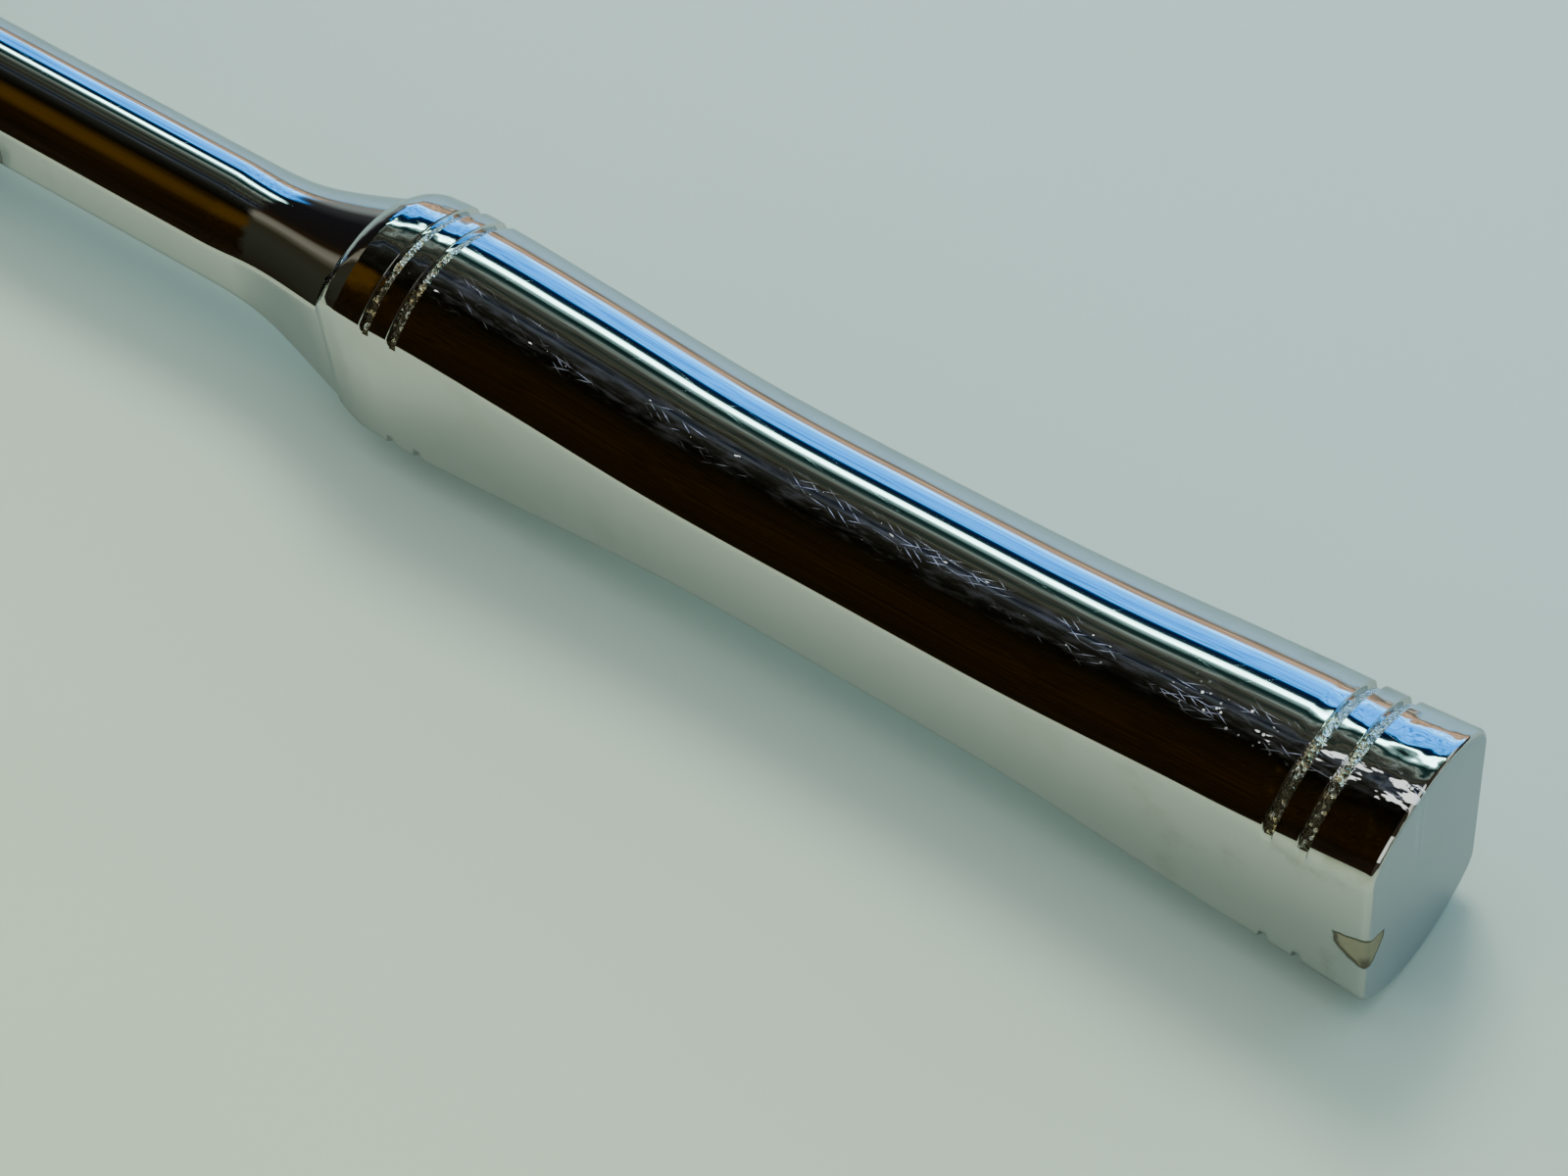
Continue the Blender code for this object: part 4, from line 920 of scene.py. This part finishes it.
def make_ball():
    rows = 24
    profile = [(BALL_RADIUS * math.sin(math.pi * row / rows) if 0 < row < rows else 0.0,
                BALL_Z - BALL_RADIUS * math.cos(math.pi * row / rows)) for row in range(rows + 1)]
    ball = finish_mesh("bearing_ball", turned(profile, 48, 0.0, BALL_Y),
                       [steel_material("bearing_steel", (0.60, 0.60, 0.62), 0.14)], 60.0)
    stand_for(ball, "retention_ball", "ball")


# Button
BUTTON_RADIUS = 4.3 * MM
BUTTON_TOP = HEAD_BOTTOM + 3.5 * MM
BUTTON_BOTTOM = HEAD_BOTTOM - 2.9 * MM
BUTTON_DOME = 1.1 * MM
BUTTON_SOCKET = 1.6 * MM
BUTTON_SOCKET_TOP = BUTTON_TOP - 4.0 * MM


def make_button():
    profile = [(0.0, BUTTON_BOTTOM)]
    for angle in np.linspace(0, math.pi / 2, 13)[1:]:
        rise = BUTTON_DOME * (1 - math.cos(angle))
        profile.append((BUTTON_RADIUS * math.sin(angle), BUTTON_BOTTOM + rise))
    profile += [(BUTTON_RADIUS, BUTTON_TOP), (BUTTON_SOCKET, BUTTON_TOP),
                (BUTTON_SOCKET, BUTTON_SOCKET_TOP), (0.0, BUTTON_SOCKET_TOP)]
    button = finish_mesh("domed_button", turned(profile, 72), [chrome_material("button_chrome")])
    stand_for(button, "release_button", "release")


# Lever
STEM_RADIUS = 4.5 * MM
STEM_TOP = COVER_BOTTOM - 0.9 * MM
STEM_BEVEL = 0.4 * MM
STEM_RING_LOW = POCKET_FLOOR + 0.2 * MM
STEM_RING_HIGH = STEM_RING_LOW + 1.1 * MM
STEM_RING_DEPTH = 0.7 * MM
STEM_SEAL_Z = HEAD_BOTTOM + 3.5 * MM
PADDLE_TOP = HEAD_BOTTOM - 0.4 * MM
PADDLE_THICKNESS = 3.0 * MM
PADDLE_HUB_RADIUS = 7.2 * MM
PADDLE_END_RADIUS = 3.6 * MM
PADDLE_LENGTH = 21.0 * MM
PADDLE_ROUNDING = 0.7 * MM
RIDGES = (18.4 * MM, 20.4 * MM, 22.4 * MM)
RIDGE_WIDTH = 1.0 * MM
RIDGE_DEPTH = 0.5 * MM
PLUNGER_Z = -25.0 * MM
PLUNGER_BORE_RADIUS = 1.75 * MM
PLUNGER_BORE_END = 2.5 * MM


def lever_frame(shape):
    """Turn a shape drawn along +X to where the lever rests."""
    turn = Euler((0, 0, LEVER_REST)).to_matrix()
    bmesh.ops.rotate(shape, verts=shape.verts, cent=(0.0, 0.0, 0.0), matrix=turn)
    bmesh.ops.translate(shape, verts=shape.verts, vec=(LEVER_X, 0.0, 0.0))
    return shape


def paddle_outline(inset):
    return round_two_circles(PADDLE_HUB_RADIUS - inset, PADDLE_END_RADIUS - inset, PADDLE_LENGTH, 57, 37)


def make_lever():
    """The selector: a thumb paddle under the head on a stem that carries the plunger."""
    bottom = PADDLE_TOP - PADDLE_THICKNESS
    rings = []
    for angle in np.linspace(0, math.pi / 2, 6):
        inset, rise = 1 - math.sin(angle), 1 - math.cos(angle)
        rings.append((PADDLE_ROUNDING * inset, bottom + PADDLE_ROUNDING * rise))
    rings += [(0.0, PADDLE_TOP - 0.25 * MM), (0.08 * MM, PADDLE_TOP - 0.08 * MM), (0.25 * MM, PADDLE_TOP)]
    paddle = skin([[(x, y, z) for x, y in paddle_outline(inset)] for inset, z in rings])
    lever = finish_mesh("thumb_lever", lever_frame(paddle), [chrome_material("lever_chrome")])
    stem = [(0.0, PADDLE_TOP - 1 * MM), (STEM_RADIUS, PADDLE_TOP - 1 * MM)]
    stem += seal_groove(STEM_RADIUS, STEM_SEAL_Z)
    neck = STEM_RADIUS - STEM_RING_DEPTH
    stem += [(STEM_RADIUS, STEM_RING_LOW), (neck, STEM_RING_LOW), (neck, STEM_RING_HIGH),
             (STEM_RADIUS, STEM_RING_HIGH), (STEM_RADIUS, STEM_TOP - STEM_BEVEL),
             (STEM_RADIUS - STEM_BEVEL, STEM_TOP), (0.0, STEM_TOP)]
    apply_boolean(lever, [lever_frame(turned(stem, 72))], "UNION")
    bore = skin([[(x, y, PLUNGER_Z + z) for y, z in circle(PLUNGER_BORE_RADIUS, 48)]
                 for x in (-STEM_RADIUS * 2, PLUNGER_BORE_END)])
    cuts = [lever_frame(bore)]
    for middle in RIDGES:
        valley = [(middle + RIDGE_WIDTH * 0.62 * math.cos(angle), bottom + RIDGE_DEPTH * math.sin(angle))
                  for angle in np.linspace(0, 2 * math.pi, 25)[:-1]]
        cuts.append(lever_frame(skin([[(x, y, z) for x, z in valley]
                                      for y in (-PADDLE_HUB_RADIUS, PADDLE_HUB_RADIUS)])))
    apply_boolean(lever, cuts)
    smooth(lever, 32.0)
    stand_for(lever, "selector_lever", "lever")


# Surroundings
ROOM_BANDS = (                      # (degrees from straight up towards +Y, radiance seen there)
    (-90, (0.024, 0.017, 0.01)), (-60, (0.012, 0.008, 0.002)),
    (-38, (0.02, 0.01, 0.002)), (-22, (0.015, 0.009, 0.002)),
    (-5, (0.003, 0.003, 0.001)), (4, (0.014, 0.014, 0.01)),
    (10, (0.03, 0.034, 0.031)), (13, (0.08, 0.1, 0.12)),
    (15, (0.012, 0.018, 0.036)), (19, (0.06, 0.072, 0.072)),
    (21, (0.036, 0.036, 0.026)), (25, (0.084, 0.096, 0.072)),
    (28, (0.03, 0.048, 0.04)), (32, (0.1, 0.11, 0.09)),
    (35, (0.32, 0.43, 0.4)), (37.5, (0.02, 0.06, 0.06)),
    (41, (0.005, 0.025, 0.025)), (45, (0.6, 1.1, 1.1)),
    (46, (8.0, 17.0, 17.0)), (49, (6.0, 12.0, 12.0)),
    (50.5, (0.06, 0.12, 0.12)), (53.5, (0.004, 0.018, 0.06)),
    (57, (0.004, 0.024, 0.1)), (59, (0.05, 1.1, 3.4)),
    (68, (0.02, 0.95, 3.4)), (75, (0.12, 1.7, 4.9)),
    (79, (0.7, 3.0, 6.4)), (81, (0.9, 0.62, 0.4)),
    (85, (1.0, 0.72, 0.5)), (88, (0.22, 0.22, 0.2)),
    (91, (1.0, 1.0, 0.85)), (100, (0.6, 0.72, 0.72)),
)
END_BANDS = (                       # the same for directions towards the handle's head
    (-90, (0.02, 0.016, 0.01)), (-62, (0.03, 0.034, 0.024)),
    (-30, (0.04, 0.044, 0.032)), (-12, (0.04, 0.038, 0.022)),
    (-6, (0.12, 0.115, 0.085)), (0, (0.27, 0.27, 0.22)),
    (6, (0.22, 0.215, 0.17)), (11, (0.03, 0.018, 0.008)),
    (20, (0.014, 0.012, 0.01)), (56, (0.014, 0.014, 0.018)),
    (72, (0.06, 0.065, 0.07)), (80, (0.34, 0.4, 0.4)),
    (100, (0.3, 0.37, 0.38)),
)
BAND_LOW = -90.0
BAND_HIGH = 100.0
BLINDS_PITCH = 85.0
BLINDS_DARK = 0.42
BLINDS_BRIGHT = 1.45
WINDOW_END = (-0.73, -0.78)         # X of the directions where the window gives way to the wall
LAMP_END = (-0.50, -0.60)
LAMP_TURN = -0.35                   # radians from straight up
LAMP_GLOW = (0.075, 0.037, 0.003)
PANEL_PITCH = 7.0
PANEL_BRIGHT = (1.3, 1.45, 1.4)
PANEL_GAP = (0.05, 0.045, 0.035)
BACK_WALL = (0.06, 0.055, 0.045)
AMBIENT = (0.27, 0.36, 0.45)        # what lights the dull surfaces
BACKDROP = (0.55, 0.62, 0.57)       # what the camera would see past the table


def room_bands(net, share, bands):
    span = BAND_HIGH - BAND_LOW
    return net.ramp(share, [((angle - BAND_LOW) / span, colour) for angle, colour in bands])


def make_world():
    """A dim room with a window low on the far side: seen in reflections only."""
    world = bpy.data.worlds.new("room")
    bpy.context.scene.world = world
    world.use_nodes = True
    net = Net(world.node_tree)
    direction = net.add("ShaderNodeTexCoord").outputs["Generated"]
    x, y, z = net.parts(direction)
    turn = net.math("ARCTAN2", y, z)
    share = net.math("DIVIDE", net.minus(turn, math.radians(BAND_LOW)),
                     math.radians(BAND_HIGH - BAND_LOW), clamp=True)
    blinds = net.noise(net.scaled(direction, (0.4, BLINDS_PITCH, BLINDS_PITCH)), 1.0, 1.0)
    shade = net.add("ShaderNodeMapRange", {"Value": blinds, "From Min": 0.3, "From Max": 0.7,
                                           "To Min": BLINDS_DARK, "To Max": BLINDS_BRIGHT})
    bands = net.add("ShaderNodeVectorMath", {0: room_bands(net, share, ROOM_BANDS),
                                             "Scale": shade.outputs["Result"]}, operation="SCALE")
    # The window stops towards the handle's head; a dim wall with a warm lamp is beyond it
    ragged = net.times(net.minus(net.noise(direction, 9.0), 0.5), 0.10)
    towards = net.plus(x, ragged)
    off_lamp = net.size(net.minus(turn, LAMP_TURN))
    lit = net.times(net.step(towards, *LAMP_END), net.step(off_lamp, 0.32, 0.05))
    lamp = net.add("ShaderNodeVectorMath", {0: LAMP_GLOW, "Scale": lit}, operation="SCALE")
    bands = net.add("ShaderNodeVectorMath", {0: bands.outputs[0], 1: lamp.outputs[0]},
                    operation="ADD").outputs[0]
    seen = net.mix(net.step(towards, *WINDOW_END), bands, room_bands(net, share, END_BANDS))
    # The end of the room behind the butt: soft ceiling panels between dark gaps
    panels = net.step(net.math("SINE", net.times(turn, PANEL_PITCH)), 0.1, 0.5)
    ceiling = net.mix(panels, PANEL_GAP, PANEL_BRIGHT)
    ceiling = net.mix(net.step(z, 0.25, 0.6), BACK_WALL, ceiling)
    seen = net.mix(net.step(x, 0.02, 0.25), seen, ceiling)
    path = net.add("ShaderNodeLightPath")
    plain = net.mix(path.outputs["Is Camera Ray"], AMBIENT, BACKDROP)
    chosen = net.mix(path.outputs["Is Glossy Ray"], plain, seen)
    background = net.add("ShaderNodeBackground", {"Color": chosen, "Strength": 1.0})
    net.add("ShaderNodeOutputWorld", {"Surface": background.outputs[0]})


LIGHTS = (                          # (name, place, size, power, colour)
    ("key_light", (-0.10, 0.42, 0.88), (0.34, 0.34), 6.2, (1.0, 0.98, 0.82)),
    ("ceiling_light", (0.05, 0.1, 1.2), (1.3, 1.3), 7.6, (0.98, 1.0, 0.88)),
    ("window_light", (0.95, 1.0, 0.45), (0.8, 0.6), 3.5, (0.45, 0.85, 1.0)),
    ("warm_fill", (-0.35, -0.75, 0.45), (0.6, 0.5), 2.2, (1.0, 0.93, 0.68)),
)


def make_lights():
    """Soft lamps aimed at the handle, which its chrome doesn't show."""
    middle = Vector((BUTT_X * 0.6, 0.0, MID_Z))
    for name, spot, size, power, colour in LIGHTS:
        data = bpy.data.lights.new(name, "AREA")
        data.shape = "RECTANGLE"
        data.size, data.size_y = size
        data.energy = power
        data.color = colour
        made = bpy.data.objects.new(name, data)
        made.location = spot
        made.rotation_euler = (middle - Vector(spot)).to_track_quat("-Z", "Y").to_euler()
        made.visible_glossy = False
        bpy.context.collection.objects.link(made)


TABLE_HALF = 2.5
TABLE_TONES = ((0.58, 0.685, 0.52), (0.605, 0.715, 0.545))
# Painted light: blue tint for the window's light on the table's far side.
TABLE_FAR_PAINTED_LIGHT = (0.49, 0.645, 0.63)


def make_floor():
    shape = bmesh.new()
    shape.faces.new([shape.verts.new((BUTT_X / 2 + x * TABLE_HALF, y * TABLE_HALF, FLOOR_Z))
                     for x, y in ((-1, -1), (1, -1), (1, 1), (-1, 1))])
    made, net, shader, place = new_material("table_top")
    tone = net.step(net.noise(place, 6.0, 3.0), 0.3, 0.7)
    _, y, _ = net.parts(place)
    # Painted light: the table's far side is tinted blue, as if lit by the window.
    colour = net.mix(net.step(y, -0.10, 0.08), net.mix(tone, *TABLE_TONES), TABLE_FAR_PAINTED_LIGHT)
    net.fill(shader, {"Base Color": colour, "Roughness": 0.42, "Specular IOR Level": 0.35,
                      "Normal": net.bump(net.noise(place, 3000.0), 0.02 * MM, 0.15)})
    floor = finish_mesh("table", shape, [made])


def make_camera():
    """Looks down at the butt, with the handle running away to the left."""
    data = bpy.data.cameras.new("camera")
    data.lens = CAMERA_LENS
    data.sensor_width = SENSOR_WIDTH
    data.clip_start = 0.01
    made = bpy.data.objects.new("camera", data)
    made.location = Vector((BUTT_X, 0.0, MID_Z)) + CAMERA_FROM_BUTT
    level = Euler((math.pi / 2 - CAMERA_ELEVATION, 0.0, CAMERA_AZIMUTH)).to_matrix()
    roll = Euler((0.0, 0.0, CAMERA_ROLL)).to_matrix()
    made.rotation_euler = (level @ roll).to_euler()
    bpy.context.collection.objects.link(made)
    bpy.context.scene.camera = made


STEEL_PIECES = (                    # (CAD node, material, colour, roughness, True for turned marks)
    ("thrust_washer", "sintered_bronze", BRONZE, 0.42),
    ("wear_washer", "sintered_bronze_upper", BRONZE, 0.42),
    ("pawl", "hardened_steel", (0.36, 0.35, 0.34), 0.34),
    ("pawl_pin", "ground_pin", GROUND_STEEL, 0.24, True),
    ("lever_ring", "ring_steel", (0.28, 0.28, 0.30), 0.36),
    ("lever_plunger", "plunger_steel", GROUND_STEEL, 0.26, True),
    ("plunger_spring", "plunger_wire", WIRE_STEEL, 0.34),
    ("release_rod", "rod_steel", GROUND_STEEL, 0.26, True),
    ("release_spring", "spring_wire", WIRE_STEEL, 0.34),
)
SOFT_PIECES = (                     # (CAD node, material, colour, roughness, mottling per metre)
    ("cover_gasket", "oiled_fibre", (0.10, 0.075, 0.05), 0.8, 900.0),
    ("anvil_seal_upper", "seal_rubber", SEAL_RUBBER, 0.6, 1500.0),
    ("anvil_seal_lower", "seal_rubber_lower", SEAL_RUBBER, 0.6, 1500.0),
    ("lever_seal", "seal_rubber_lever", SEAL_RUBBER, 0.6, 1500.0),
)


def dress_inner_pieces():
    """Materials for the CAD nodes that stay."""
    for make_material, pieces in ((steel_material, STEEL_PIECES), (soft_material, SOFT_PIECES)):
        for name, *look in pieces:
            node = frame["nodes"][name]
            node.data.materials.clear()
            node.data.materials.append(make_material(*look))


make_camera()
make_world()
make_lights()
make_floor()
make_handle()
make_cover()
make_screws()
make_drive_gear()
make_ball()
make_button()
make_lever()
dress_inner_pieces()
